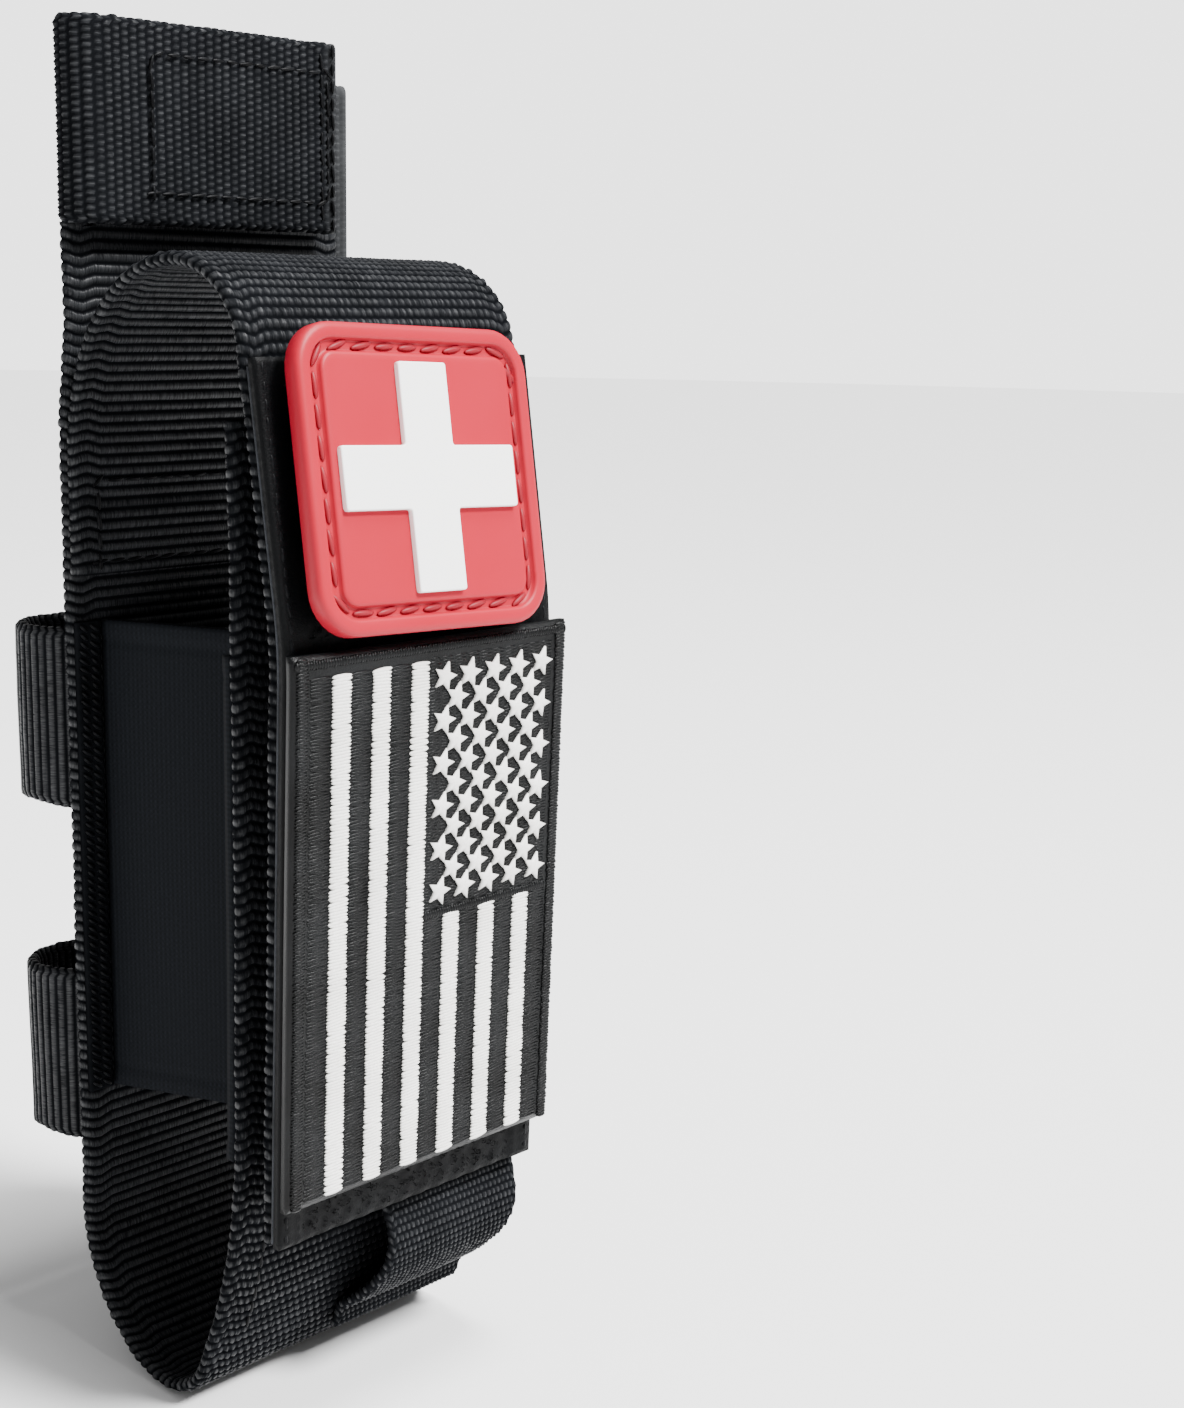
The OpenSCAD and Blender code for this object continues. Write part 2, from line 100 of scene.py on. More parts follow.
def fromAbove(a, b, across):
    return place(a, b, across)


print("Camera, light and floor")

studio = {
    "cameraAt": (-0.1912, -0.27865, 0.0644),
    "yaw": 47.1,
    "pitch": 11.3,
    "roll": -1.1,
    "lens": 52.03,
    "sunTowards": (0.22, -0.62, 0.75),
    "sunStrength": 10.0,
    "sunWide": 16,
    "topAt": (0.12, -0.25, 0.95),
    "topWatts": 15.0,
    "topSize": 0.35,
    "aimAt": (0, -0.035, 0),
    "backdrop": 2.9,
    "ambient": 0.5,
    "floorRadius": 4.0,
    "floorDrop": 0.0004,
    "floorGrey": 0.86,
}


def addObject(name, data):
    item = bpy.data.objects.new(name, data)
    bpy.context.scene.collection.objects.link(item)
    return item


def meshOf(name, form):
    mesh = bpy.data.meshes.new(name)
    form.to_mesh(mesh)
    form.free()
    return mesh


def makeCamera():
    yaw, pitch, roll = (math.radians(studio[k]) for k in ("yaw", "pitch", "roll"))
    ahead = Vector((math.sin(yaw) * math.cos(pitch), math.cos(yaw) * math.cos(pitch),
                    -math.sin(pitch)))
    right = Vector((math.cos(yaw), -math.sin(yaw), 0))
    down = ahead.cross(right)
    turned = (math.cos(roll) * right + math.sin(roll) * down,
              -math.sin(roll) * right + math.cos(roll) * down)
    axes = Matrix((turned[0], -turned[1], -ahead)).transposed()
    data = bpy.data.cameras.new("camera")
    data.lens = studio["lens"]
    data.sensor_width = 36
    data.clip_start = 0.01
    data.clip_end = 50
    camera = addObject("camera", data)
    camera.matrix_world = Matrix.Translation(studio["cameraAt"]) @ axes.to_4x4()
    bpy.context.scene.camera = camera


def softLight(name, at, watts, size):
    data = bpy.data.lights.new(name, "AREA")
    data.energy = watts
    data.shape = "DISK"
    data.size = size
    light = addObject(name, data)
    light.location = at
    aim = Vector(studio["aimAt"]) - Vector(at)
    light.rotation_euler = aim.to_track_quat("-Z", "Y").to_euler()


def sunLight(name, towards, strength, wide):
    data = bpy.data.lights.new(name, "SUN")
    data.energy = strength
    data.angle = math.radians(wide)
    light = addObject(name, data)
    light.rotation_euler = Vector(towards).to_track_quat("Z", "Y").to_euler()


makeCamera()
softLight("topLight", studio["topAt"], studio["topWatts"], studio["topSize"])
sunLight("keyLight", studio["sunTowards"], studio["sunStrength"], studio["sunWide"])

print("Materials")


def colour(sixDigits):
    channels = [int(sixDigits[i:i + 2], 16) / 255 for i in (1, 3, 5)]
    return tuple(c / 12.92 if c <= 0.04045 else ((c + 0.055) / 1.055) ** 2.4
                 for c in channels) + (1.0,)


def feed(tree, node, links):
    # A link where the value is a socket, a plain setting where it is not
    for socket, value in links.items():
        if isinstance(value, bpy.types.NodeSocket):
            tree.links.new(value, node.inputs[socket])
        else:
            node.inputs[socket].default_value = value


def addNode(tree, kind, links=None, **settings):
    node = tree.nodes.new(kind)
    for key, value in settings.items():
        setattr(node, key, value)
    feed(tree, node, links or {})
    return node


def newMaterial(name, **shaderValues):
    material = bpy.data.materials.new(name)
    material.use_nodes = True
    shader = material.node_tree.nodes["Principled BSDF"]
    for socket, value in shaderValues.items():
        shader.inputs[socket.replace("_", " ")].default_value = value
    return material, material.node_tree, shader


# Nylon webbing, woven from filament yarn: matte black, with small lights on the
# crown of each rib where the filaments lie side by side. Its base colour is painted
# shade in the rib valleys and a painted highlight on the crowns
def wovenNylon(name, paintedValleyShade, crown, worn, filament, glint, rough, relief):
    material, tree, shader = newMaterial(name, Roughness=rough)
    cloth = addNode(tree, "ShaderNodeAttribute", attribute_name="cloth")
    crest = addNode(tree, "ShaderNodeAttribute", attribute_name="crest")
    lay = addNode(tree, "ShaderNodeMapping", {"Vector": cloth.outputs["Vector"],
                  "Scale": (1 / filament, 1 / (9 * filament), 0.0)})
    fibres = addNode(tree, "ShaderNodeTexNoise", {"Vector": lay.outputs[0], "Scale": 1.0,
                     "Detail": 3.0, "Roughness": 0.6})
    patches = addNode(tree, "ShaderNodeMapping", {"Vector": cloth.outputs["Vector"],
                      "Scale": (0.12, 0.12, 0.0)})
    shade = addNode(tree, "ShaderNodeTexNoise", {"Vector": patches.outputs[0],
                    "Scale": 1.0, "Detail": 2.0})
    # Painted shade and highlight: the rib height turns the colour dark in the valleys and
    # light on the crowns
    lift = addNode(tree, "ShaderNodeMath", {0: crest.outputs["Fac"],
                   1: fibres.outputs["Fac"]}, operation="MULTIPLY")
    paintedRibShading = addNode(tree, "ShaderNodeMapRange", {"Value": lift.outputs[0],
                   "From Min": 0.12, "From Max": 0.62})
    yarn = addNode(tree, "ShaderNodeMix", {"Factor": paintedRibShading.outputs[0], "A": colour(paintedValleyShade),
                   "B": colour(crown)}, data_type="RGBA")
    split = addNode(tree, "ShaderNodeSeparateXYZ", {0: cloth.outputs["Vector"]})
    aged = addNode(tree, "ShaderNodeMix", {"Factor": split.outputs[2],
                   "A": yarn.outputs["Result"], "B": colour(worn)}, data_type="RGBA")
    tone = addNode(tree, "ShaderNodeMapRange", {"Value": shade.outputs["Fac"],
                   "From Min": 0.3, "From Max": 0.7, "To Min": 0.8, "To Max": 1.2})
    final = addNode(tree, "ShaderNodeHueSaturation", {"Color": aged.outputs["Result"],
                    "Value": tone.outputs[0]})
    bump = addNode(tree, "ShaderNodeBump", {"Height": fibres.outputs["Fac"],
                   "Strength": relief, "Distance": 0.00012})
    shine = addNode(tree, "ShaderNodeMapRange", {"Value": lift.outputs[0],
                    "From Min": 0.3, "From Max": 0.68, "To Max": glint})
    feed(tree, shader, {"Base Color": final.outputs[0],
                        "Specular IOR Level": shine.outputs[0],
                        "Normal": bump.outputs[0]})
    return material


# Knitted elastic: dull blue-black with close upright wales, coarsened to 0.8 mm so
# that they show
def knittedElastic(name, low, high, wale, course):
    material, tree, shader = newMaterial(name, Roughness=0.8, Specular_IOR_Level=0.08)
    cloth = addNode(tree, "ShaderNodeAttribute", attribute_name="cloth")
    split = addNode(tree, "ShaderNodeSeparateXYZ", {0: cloth.outputs["Vector"]})
    waves = []
    for axis, pitch in ((0, wale), (1, course)):
        turn = addNode(tree, "ShaderNodeMath", {0: split.outputs[axis],
                       1: 2 * math.pi / pitch}, operation="MULTIPLY")
        waves.append(addNode(tree, "ShaderNodeMath", {0: turn.outputs[0]},
                             operation="SINE"))
    knit = addNode(tree, "ShaderNodeMath", {0: waves[0].outputs[0],
                   1: waves[1].outputs[0]}, operation="MULTIPLY")
    rise = addNode(tree, "ShaderNodeMath", {0: knit.outputs[0], 1: waves[0].outputs[0]},
                   operation="ADD")
    fuzz = addNode(tree, "ShaderNodeTexNoise", {"Vector": cloth.outputs["Vector"],
                   "Scale": 2.2, "Detail": 3.0})
    level = addNode(tree, "ShaderNodeMapRange", {"Value": rise.outputs[0],
                    "From Min": -2.0, "From Max": 2.0})
    mixed = addNode(tree, "ShaderNodeMath", {0: level.outputs[0],
                    1: fuzz.outputs["Fac"]}, operation="MULTIPLY")
    tint = addNode(tree, "ShaderNodeMix", {"Factor": mixed.outputs[0], "A": colour(low),
                   "B": colour(high)}, data_type="RGBA")
    bump = addNode(tree, "ShaderNodeBump", {"Height": mixed.outputs[0],
                   "Strength": 0.5, "Distance": 0.00015})
    feed(tree, shader, {"Base Color": tint.outputs["Result"], "Normal": bump.outputs[0]})
    return material


# Spun or twisted thread, pile and cut cloth: a base colour broken up by fine noise
# on object coordinates, with a grain size in millimetres
def fibrous(name, low, high, grain, rough, specular, sheen, relief):
    material, tree, shader = newMaterial(name, Roughness=rough,
                                         Specular_IOR_Level=specular, Sheen_Weight=sheen,
                                         Sheen_Roughness=0.35)
    where = addNode(tree, "ShaderNodeTexCoord")
    grit = addNode(tree, "ShaderNodeTexNoise", {"Vector": where.outputs["Object"],
                   "Scale": 1 / (grain * mm), "Detail": 2.0, "Roughness": 0.65})
    broad = addNode(tree, "ShaderNodeTexNoise", {"Vector": where.outputs["Object"],
                    "Scale": 1 / (9 * mm), "Detail": 1.0})
    mixed = addNode(tree, "ShaderNodeMath", {0: grit.outputs["Fac"],
                    1: broad.outputs["Fac"]}, operation="MULTIPLY")
    spread = addNode(tree, "ShaderNodeMapRange", {"Value": mixed.outputs[0],
                     "From Min": 0.12, "From Max": 0.4})
    tint = addNode(tree, "ShaderNodeMix", {"Factor": spread.outputs[0], "A": colour(low),
                   "B": colour(high)}, data_type="RGBA")
    bump = addNode(tree, "ShaderNodeBump", {"Height": grit.outputs["Fac"],
                   "Strength": relief, "Distance": grain * mm * 0.4})
    feed(tree, shader, {"Base Color": tint.outputs["Result"], "Normal": bump.outputs[0]})
    return material


# Soft PVC cast in an open mould: even colour, satin skin with a faint orange peel
def mouldedPvc(name, low, high, rough):
    material, tree, shader = newMaterial(name, Specular_IOR_Level=0.25,
                                         Subsurface_Weight=0.08, Subsurface_Scale=0.001)
    where = addNode(tree, "ShaderNodeTexCoord")
    cloud = addNode(tree, "ShaderNodeTexNoise", {"Vector": where.outputs["Object"],
                    "Scale": 1 / (14 * mm), "Detail": 3.0})
    peel = addNode(tree, "ShaderNodeTexNoise", {"Vector": where.outputs["Object"],
                   "Scale": 1 / (0.35 * mm), "Detail": 1.0})
    tint = addNode(tree, "ShaderNodeMix", {"Factor": cloud.outputs["Fac"],
                   "A": colour(low), "B": colour(high)}, data_type="RGBA")
    gloss = addNode(tree, "ShaderNodeMapRange", {"Value": cloud.outputs["Fac"],
                    "To Min": rough - 0.06, "To Max": rough + 0.06})
    bump = addNode(tree, "ShaderNodeBump", {"Height": peel.outputs["Fac"],
                   "Strength": 0.12, "Distance": 0.00005})
    feed(tree, shader, {"Base Color": tint.outputs["Result"],
                        "Roughness": gloss.outputs[0], "Normal": bump.outputs[0]})
    return material


materials = {
    # Each webbing's first two colours are painted: shade in the rib valleys, highlight on
    # the crowns; the third is wear
    "heavy_webbing": wovenNylon("ribbedNylonWebbing", "#0a0b0d", "#2a2b2d", "#343536",
                                0.22, 0.34, 0.42, 0.5),
    "light_webbing": wovenNylon("fineNylonWebbing", "#0f1012", "#2d2e30", "#3d3e3f",
                                0.18, 0.32, 0.42, 0.5),
    "elastic": knittedElastic("knittedElastic", "#0a0c0f", "#1c1f24", 0.8, 0.8),
    "thread": fibrous("bondedNylonThread", "#020203", "#0f1012", 0.25, 0.45, 0.08, 0.0, 0.4),
    "loop_pile": fibrous("brushedLoopPile", "#010102", "#08090a", 0.3, 0.5, 0.08, 0.0,
                         0.6),
    "hook_tape": fibrous("mouldedNylonHook", "#020203", "#090a0b", 0.4, 0.4, 0.15, 0.0,
                         0.2),
    "backing": fibrous("coatedBackingCloth", "#16181b", "#303338", 0.3, 0.7, 0.2, 0.0,
                       0.4),
    "red_pvc": mouldedPvc("redSoftPvc", "#9d0a22", "#a30d27", 0.46),
    # A darker copy of the red PVC: painted shade for the dashes in the groove
    "dark_red_pvc": mouldedPvc("grooveShadeRedSoftPvc", "#7a0a1b", "#840e20", 0.5),
    "white_pvc": mouldedPvc("whiteSoftPvc", "#fbfbf9", "#fdfdfb", 0.42),
    "black_embroidery": fibrous("blackRayonEmbroidery", "#010101", "#131415", 0.16, 0.3,
                                0.14, 0.0, 1.0),
    "white_embroidery": fibrous("whiteRayonEmbroidery", "#dedcd8", "#f6f5f1", 0.3, 0.5,
                                0.35, 0.05, 0.3),
}


def makeFloor():
    grey = (studio["floorGrey"],) * 3 + (1,)
    material = newMaterial("matteFloor", Roughness=0.9, Specular_IOR_Level=0.1,
                           Base_Color=grey)[0]
    form = bmesh.new()
    bmesh.ops.create_circle(form, cap_ends=True, radius=studio["floorRadius"],
                            segments=64)
    bmesh.ops.translate(form, verts=form.verts,
                        vec=(0, 0, cadBox[0].z - studio["floorDrop"]))
    mesh = meshOf("floor", form)
    mesh.materials.append(material)
    addObject("floor", mesh)
    # The lens sees a bright backdrop; the cloth is lit by a dimmer one
    world = bpy.data.worlds.new("paleStudio")
    world.use_nodes = True
    tree = world.node_tree
    ray = addNode(tree, "ShaderNodeLightPath")
    level = addNode(tree, "ShaderNodeMapRange", {"Value": ray.outputs["Is Camera Ray"],
                    "To Min": studio["ambient"], "To Max": studio["backdrop"]})
    feed(tree, tree.nodes["Background"], {"Color": (1, 1, 1, 1),
                                          "Strength": level.outputs[0]})
    bpy.context.scene.world = world


makeFloor()


# A piece from points and faces; fields are values that its material reads
def makePiece(name, points, faces, slotName, body, nodes, fields=None, flatFaces=()):
    mesh = bpy.data.meshes.new(name)
    mesh.from_pydata(np.asarray(points, float).reshape(-1, 3).tolist(), [], faces)
    for field, values in (fields or {}).items():
        kind = "FLOAT_VECTOR" if values.ndim == 2 else "FLOAT"
        layer = mesh.attributes.new(field, kind, "POINT")
        layer.data.foreach_set("vector" if values.ndim == 2 else "value",
                               values.astype(np.float32).ravel())
    form = bmesh.new()
    form.from_mesh(mesh)
    bmesh.ops.recalc_face_normals(form, faces=form.faces)
    form.to_mesh(mesh)
    form.free()
    smooth = np.ones(len(mesh.polygons), bool)
    smooth[list(flatFaces)] = False
    mesh.polygons.foreach_set("use_smooth", smooth)
    return register(name, mesh, slotName, body, nodes)


def register(name, mesh, slotName, body, nodes):
    mesh.materials.clear()
    mesh.materials.append(materials[slotName])
    piece = addObject(name, mesh)
    if body:
        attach(piece, body)
    if nodes:
        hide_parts(*nodes)
    return piece


def ringFaces(rows, ring):
    i, j = np.meshgrid(np.arange(rows - 1), np.arange(ring), indexing="ij")
    i, j = i.ravel(), j.ravel()
    k = (j + 1) % ring
    quads = np.stack([i * ring + j, i * ring + k, (i + 1) * ring + k,
                      (i + 1) * ring + j], axis=1)
    return quads.tolist()


# A smooth curve through knots, in the side view or seen from above
def smoothCurve(knots, steps=10):
    knots = [Vector(k) for k in knots]

    def heading(i):
        return (knots[min(i + 1, len(knots) - 1)] - knots[max(i - 1, 0)]).normalized()

    points = []
    for i in range(len(knots) - 1):
        a, d = knots[i], knots[i + 1]
        reach = (d - a).length / 3
        b, c = a + reach * heading(i), d - reach * heading(i + 1)
        for step in range(steps):
            t = step / steps
            points.append((1 - t) ** 3 * a + 3 * t * (1 - t) ** 2 * b
                          + 3 * t * t * (1 - t) * c + t ** 3 * d)
    return points + [knots[-1]]


# The same line with its length, and the way out of the cloth all along it
def measured(points, step=0.25):
    points = np.array([tuple(p) for p in points], float)
    along = np.r_[0, np.cumsum(np.linalg.norm(np.diff(points, axis=0), axis=1))]
    fine = np.linspace(0, along[-1], max(4, int(along[-1] / step)))
    places = np.stack([np.interp(fine, along, points[:, k]) for k in (0, 1)], axis=1)
    slope = np.gradient(places, fine, axis=0)
    blur = np.ones(9) / 9
    for k in (0, 1):
        padded = np.r_[[slope[0, k]] * 4, slope[:, k], [slope[-1, k]] * 4]
        slope[:, k] = np.convolve(padded, blur, "valid")
    slope /= np.linalg.norm(slope, axis=1)[:, None]
    return {"along": fine, "places": places,
            "sideways": np.stack([slope[:, 1], -slope[:, 0]], axis=1)}


def onLine(line, s, out=0.0):
    spots = [np.interp(s, line["along"], line["places"][:, k])
             + out * np.interp(s, line["along"], line["sideways"][:, k]) for k in (0, 1)]
    return spots[0], spots[1]


holder = {
    "strapWidth": 50.0,
    "strapThick": 2.0,
    "lightThick": 1.8,
    "backY": 24.0,
    "frontY": 16.4,
    "foldZ": 38.0,
    "mouthZ": 149.0,
    "flapY": 22.0,
    "flapTopY": 19.0,
    "kneeY": 25.0,
    "kneeZ": 119.3,
    "kneeRound": 1.0,
    "flapTopZ": 157.0,
    "archBackZ": 142.0,
    "archRise": 20.0,
    "archSeam": 18.0,
    "tabZ": 175.0,
    "tabHigh": 28.5,
    "tailLean": 2.0,
    "panelZ": 33.0,
    "panelHigh": 124.0,
    "sewn": 0.05,
    "curved": 0.2,
    "resting": 0.3,
    "hook": 1.2,
    "tape": 1.0,
}
halfW = holder["strapWidth"] / 2
halfT = holder["strapThick"] / 2
tailZ = holder["tabZ"] + holder["tabHigh"] - 2


def mainPath():
    y, tabZ, foldZ = holder["backY"], holder["tabZ"], holder["foldZ"]
    front, mouth, lean = holder["frontY"], holder["mouthZ"], holder["tailLean"]
    middle, half = (y - front) / 2, (y + front) / 2
    outline = [(0.98, 0.5), (0.62, 0.17), (0.1, 0.03), (-0.35, 0.1), (-0.6, 0.34),
               (-0.78, 0.62), (-0.93, 1)]
    knots = [(y - lean, tailZ), (y - lean, tailZ - 12), (y - lean, tabZ - 7),
             (y - lean, tabZ - 13), (y - lean / 2, tabZ - 21), (y, tabZ - 29),
             (y, tabZ - 45), (y, foldZ + 22), (y, foldZ + 2), (y, foldZ - 5)]
    knots += [(middle + half * a, foldZ * b) for a, b in outline]
    knots += [(-front + 0.4, foldZ + 22), (-front, (foldZ + mouth) / 2),
              (-front, mouth - 20), (-front + 0.6, mouth)]
    return smoothCurve(knots)


def flapDepth(z):
    # Two straight stretches, above and below the knee, with a rounded bend between them
    over = np.asarray(z, float) - holder["kneeZ"]
    knee, soft = holder["kneeY"], holder["kneeRound"]
    above = knee + (holder["flapTopY"] - knee) * over / (holder["flapTopZ"]
                                                         - holder["kneeZ"])
    below = knee - (holder["flapY"] - knee) * over / (holder["kneeZ"] - holder["panelZ"])
    return (np.minimum(above, below)
            - np.maximum(0, soft - np.abs(above - below)) ** 2 / (4 * soft))


archY = holder["backY"] - holder["strapThick"] - holder["sewn"]


def archPoint(angle):
    middle, half = (archY - holder["flapTopY"]) / 2, (archY + holder["flapTopY"]) / 2
    base = holder["archBackZ"] + (holder["flapTopZ"] - holder["archBackZ"]) * angle / 180
    return Vector((middle + half * math.cos(math.radians(angle)),
                   base + holder["archRise"] * math.sin(math.radians(angle))))


def flapPath():
    back, top = holder["archBackZ"], holder["flapTopZ"]
    points = [Vector((archY, back - holder["archSeam"])), Vector((archY, back - 2))]
    points += [archPoint(a) for a in range(0, 181, 5)]
    points += [Vector((-flapDepth(z), z)) for z in np.arange(top - 2, holder["panelZ"], -2)]
    return points + [Vector((-flapDepth(holder["panelZ"]), holder["panelZ"]))]


def hangAt(z, out):
    z = np.asarray(z, float)
    rise = flapDepth(z + 1) - flapDepth(z - 1)
    size = np.hypot(rise, 2)
    return -flapDepth(z) - out * 2 / size, z - out * rise / size


mainPoints = mainPath()
mainLine = measured(mainPoints)
flapLine = measured(flapPath())
foldKnot, frontKnot = 10, 17
knotSteps = 10

print("Webbing")


def beadColumns(width, bead):
    return np.linspace(0, 1, 2 * max(3, round(width / bead)) + 1)


def edgeColumns(width):
    near = np.array([0, 0.5, 1.2, 2.4])
    return np.r_[near, np.linspace(4.5, width - 4.5, 7), width - near[::-1]] / width


yarns = {
    "crown": (0, 0.82, 1, 0.82),
    "ribSpread": 0.07,
    "yarnSpread": 0.05,
    "edgeSpread": 0.05,
    "edgeRound": 0.9,
    "edgeThin": 0.35,
    "meanLevel": 0.75,
    "sways": ((0.09, 9.0, 2.0), (0.06, 4.3, 5.0)),
}


def weave(name, line, low, high, thick, cloth, lift, slotName, body, nodes,
          fineOut=True, fineIn=False, worn=None):
    length = line["along"][-1]
    ribs = max(3, round(length / cloth["rib"]))
    s = np.linspace(0, length, 4 * ribs + 1)
    rib, phase = np.arange(len(s)) // 4, np.arange(len(s)) % 4
    crown = np.array(yarns["crown"])[phase]
    lowAt = low(s) if callable(low) else np.full(len(s), float(low))
    highAt = high(s) if callable(high) else np.full(len(s), float(high))
    width = float((highAt - lowAt).max())
    outer = beadColumns(width, cloth["bead"]) if fineOut else edgeColumns(width)
    inner = beadColumns(width, cloth["bead"]) if fineIn else edgeColumns(width)
    share = np.r_[outer, inner[::-1]]
    side = np.r_[np.ones(len(outer)), -np.ones(len(inner))]
    column = np.r_[np.arange(len(outer)), np.arange(len(inner))[::-1]]
    beaded = np.r_[np.full(len(outer), fineOut), np.full(len(inner), fineIn)]
    # The edge is thinner and scalloped, and its ribs slant into a herringbone
    inside = np.minimum(share, 1 - share) * width
    rounding = np.sqrt(1 - (1 - np.clip(inside / yarns["edgeRound"], 0, 1)) ** 2)
    taper = yarns["edgeThin"] + (1 - yarns["edgeThin"]) * rounding
    slant = 0.5 - np.abs(np.clip(inside / cloth["selvedge"], 0, 1) - 0.5)
    fade = np.clip(np.minimum(s, length - s) / (2 * cloth["rib"]), 0, 1)
    sGrid = s[:, None] + fade[:, None] * slant[None, :] * cloth["rib"]
    dip = np.where(beaded[None, :] & ((column[None, :] + rib[:, None]) % 2 == 1),
                   cloth["dip"], 0.0)
    uneven = 1 + chance.normal(0, yarns["ribSpread"], ribs + 2)[rib]
    height = crown[:, None] * (1 - dip) * uneven[:, None]
    rough = chance.normal(0, yarns["yarnSpread"], height.shape)
    height = height + rough * (crown[:, None] > 0)
    sway = sum(a * np.sin(s[:, None] / p + share[None, :] * q + chance.uniform(0, 6))
               for a, p, q in yarns["sways"])
    sway = sway * fade[:, None]
    level = (height - yarns["meanLevel"]) * cloth["depth"]
    out = side * taper * (thick / 2 + level) + sway
    grow = np.where(share == 0, -1, np.where(share == 1, 1, 0))[None, :]
    jog = chance.normal(0, yarns["edgeSpread"], ribs + 2)[rib][:, None]
    across = (lowAt[:, None] + share[None, :] * (highAt - lowAt)[:, None]
              + grow * (cloth["scallop"] * crown[:, None] + jog))
    a, b = onLine(line, sGrid, out)
    points = lift(a, b, across)
    ring = len(share)
    faces = ringFaces(len(s), ring)
    caps = [len(faces), len(faces) + 1]
    faces.append(list(range(ring)))
    faces.append([(len(s) - 1) * ring + k for k in range(ring)])
    wornAt = worn(s) if worn else np.zeros(len(s))
    field = np.stack(np.broadcast_arrays(across, sGrid, wornAt[:, None]), axis=-1)
    fields = {"cloth": field.reshape(-1, 3), "crest": np.clip(height, 0, 1).ravel()}
    return makePiece(name, points, faces, slotName, body, nodes, fields, caps)


heavyCloth = {"rib": 1.6, "bead": 1.25, "depth": 0.46, "dip": 0.5, "scallop": 0.26,
              "selvedge": 4.0}
tabCloth = {"rib": 1.45, "bead": 1.05, "depth": 0.5, "dip": 0.8, "scallop": 0.14,
            "selvedge": 0.8}
fineCloth = {"rib": 1.25, "bead": 1.0, "depth": 0.3, "dip": 0.4, "scallop": 0.08,
             "selvedge": 0.8}
markerCloth = {"rib": 1.2, "bead": 0.95, "depth": 0.42, "dip": 0.7, "scallop": 0.1,
               "selvedge": 0.8}

top = {
    "baseOver": 4.0,
    "short": 3.5,
    "drop": 5.5,
    "foldOver": 0.6,
    "stitchFrom": -13.0,
    "stitchInset": 4.5,
}
tailY = holder["backY"] - holder["tailLean"]
baseY = tailY + halfT + holder["sewn"]
patchY = tailY - halfT - holder["sewn"] - holder["tape"]
tabHookY = patchY - holder["resting"] - holder["hook"]
tabY = tabHookY - holder["sewn"] - holder["lightThick"]
foldR = (baseY + holder["lightThick"] - tabY) / 2
foldMidY = (baseY + holder["lightThick"] + tabY) / 2
foldX = -halfW - top["foldOver"] + foldR


def mainLowEdge(s):
    z = np.interp(s, mainLine["along"], mainLine["places"][:, 1])
    cut = (s < 60) & (z > holder["tabZ"] + 0.4)
    return np.where(cut, foldX + holder["sewn"], -halfW)


weave("mainStrap", mainLine, mainLowEdge, halfW, holder["strapThick"], heavyCloth,
      fromSide, "heavy_webbing", "holder", ["main_strap"], fineOut=False, fineIn=True)


def makeFlap():
    hinge = archPoint(120)
    ahead = (archPoint(125) - archPoint(115)).normalized()
    reach = 8.0
    flap = weave("flapStrap", flapLine, -halfW, halfW, holder["strapThick"], heavyCloth,
                 fromSide, "heavy_webbing", None, ["flap_root_strap", "flap_strap"])
    ends = [place(0, *(hinge + k * reach * ahead)) for k in (-1, 1)]
    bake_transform(flap)


makeFlap()


def bend(x, y, out, start):
    # Half a turn round x, y, bulging by out and starting at y + start
    turns = [math.radians(a) for a in range(6, 180, 6)]
    return [(x + out * math.sin(t), y + start * math.cos(t)) for t in turns]


def makeTab():
    thick = holder["lightThick"]
    right = halfW + top["baseOver"]
    middleR = foldR - thick / 2
    points = [(x, baseY + thick / 2) for x in np.linspace(right, foldX, 26)]
    points += bend(foldX, foldMidY, -middleR, middleR)
    points += [(x, tabY + thick / 2)
               for x in np.linspace(foldX, halfW - top["short"], 26)]
    line = measured(points)
    baseLength = right - foldX

    def low(s):
        return holder["tabZ"] - top["drop"] * np.clip(1 - s / baseLength, 0, 1)

    def high(s):
        return low(s) + holder["tabHigh"]

    def worn(s):
        free = line["along"][-1] - s
        return 0.75 * np.clip(1 - s / 5, 0, 1) + 0.35 * np.clip(1 - free / 3, 0, 1)

    tab = weave("tabStrap", line, low, high, thick, tabCloth, fromAbove,
                "light_webbing", None, ["tab_base_strap", "tab_strap"], fineIn=True,
                worn=worn)
    tuple(place(foldX, foldMidY + 0.6, holder["tabZ"]))
    tuple(place(foldX, tabY + thick, holder["tabZ"]))
    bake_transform(tab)


makeTab()

rings = {"high": 28.0, "deep": 16.0, "over": 2.0, "upperZ": 101.5, "lowerZ": 47.5}


def makeRing(name, node, z):
    thick = holder["lightThick"]
    r = rings["deep"] / 2
    reach = halfW + rings["over"] - r
    mid = r - thick / 2
    centreY = originY - r
    points = [(x, centreY - mid) for x in np.linspace(0, reach, 10)]
    points += bend(reach, centreY, mid, -mid)
    points += [(x, centreY + mid) for x in np.linspace(reach, -reach, 20)]
    points += bend(-reach, centreY, -mid, mid)
    points += [(x, centreY - mid) for x in np.linspace(-reach, -0.05, 10)]
    line = measured(points)

    # The webbing narrows a little where it turns at the sides
    def low(s):
        x = np.interp(s, line["along"], line["places"][:, 0])
        return z - rings["high"] / 2 + 1.1 * np.exp(-((np.abs(x) - halfW - 2) / 2.2) ** 2)

    weave(name, line, low, z + rings["high"] / 2, thick, fineCloth, fromAbove,
          "light_webbing", "holder", [node], fineOut=False)


makeRing("upperRing", "upper_rear_ring", rings["upperZ"])
makeRing("lowerRing", "lower_rear_ring", rings["lowerZ"])


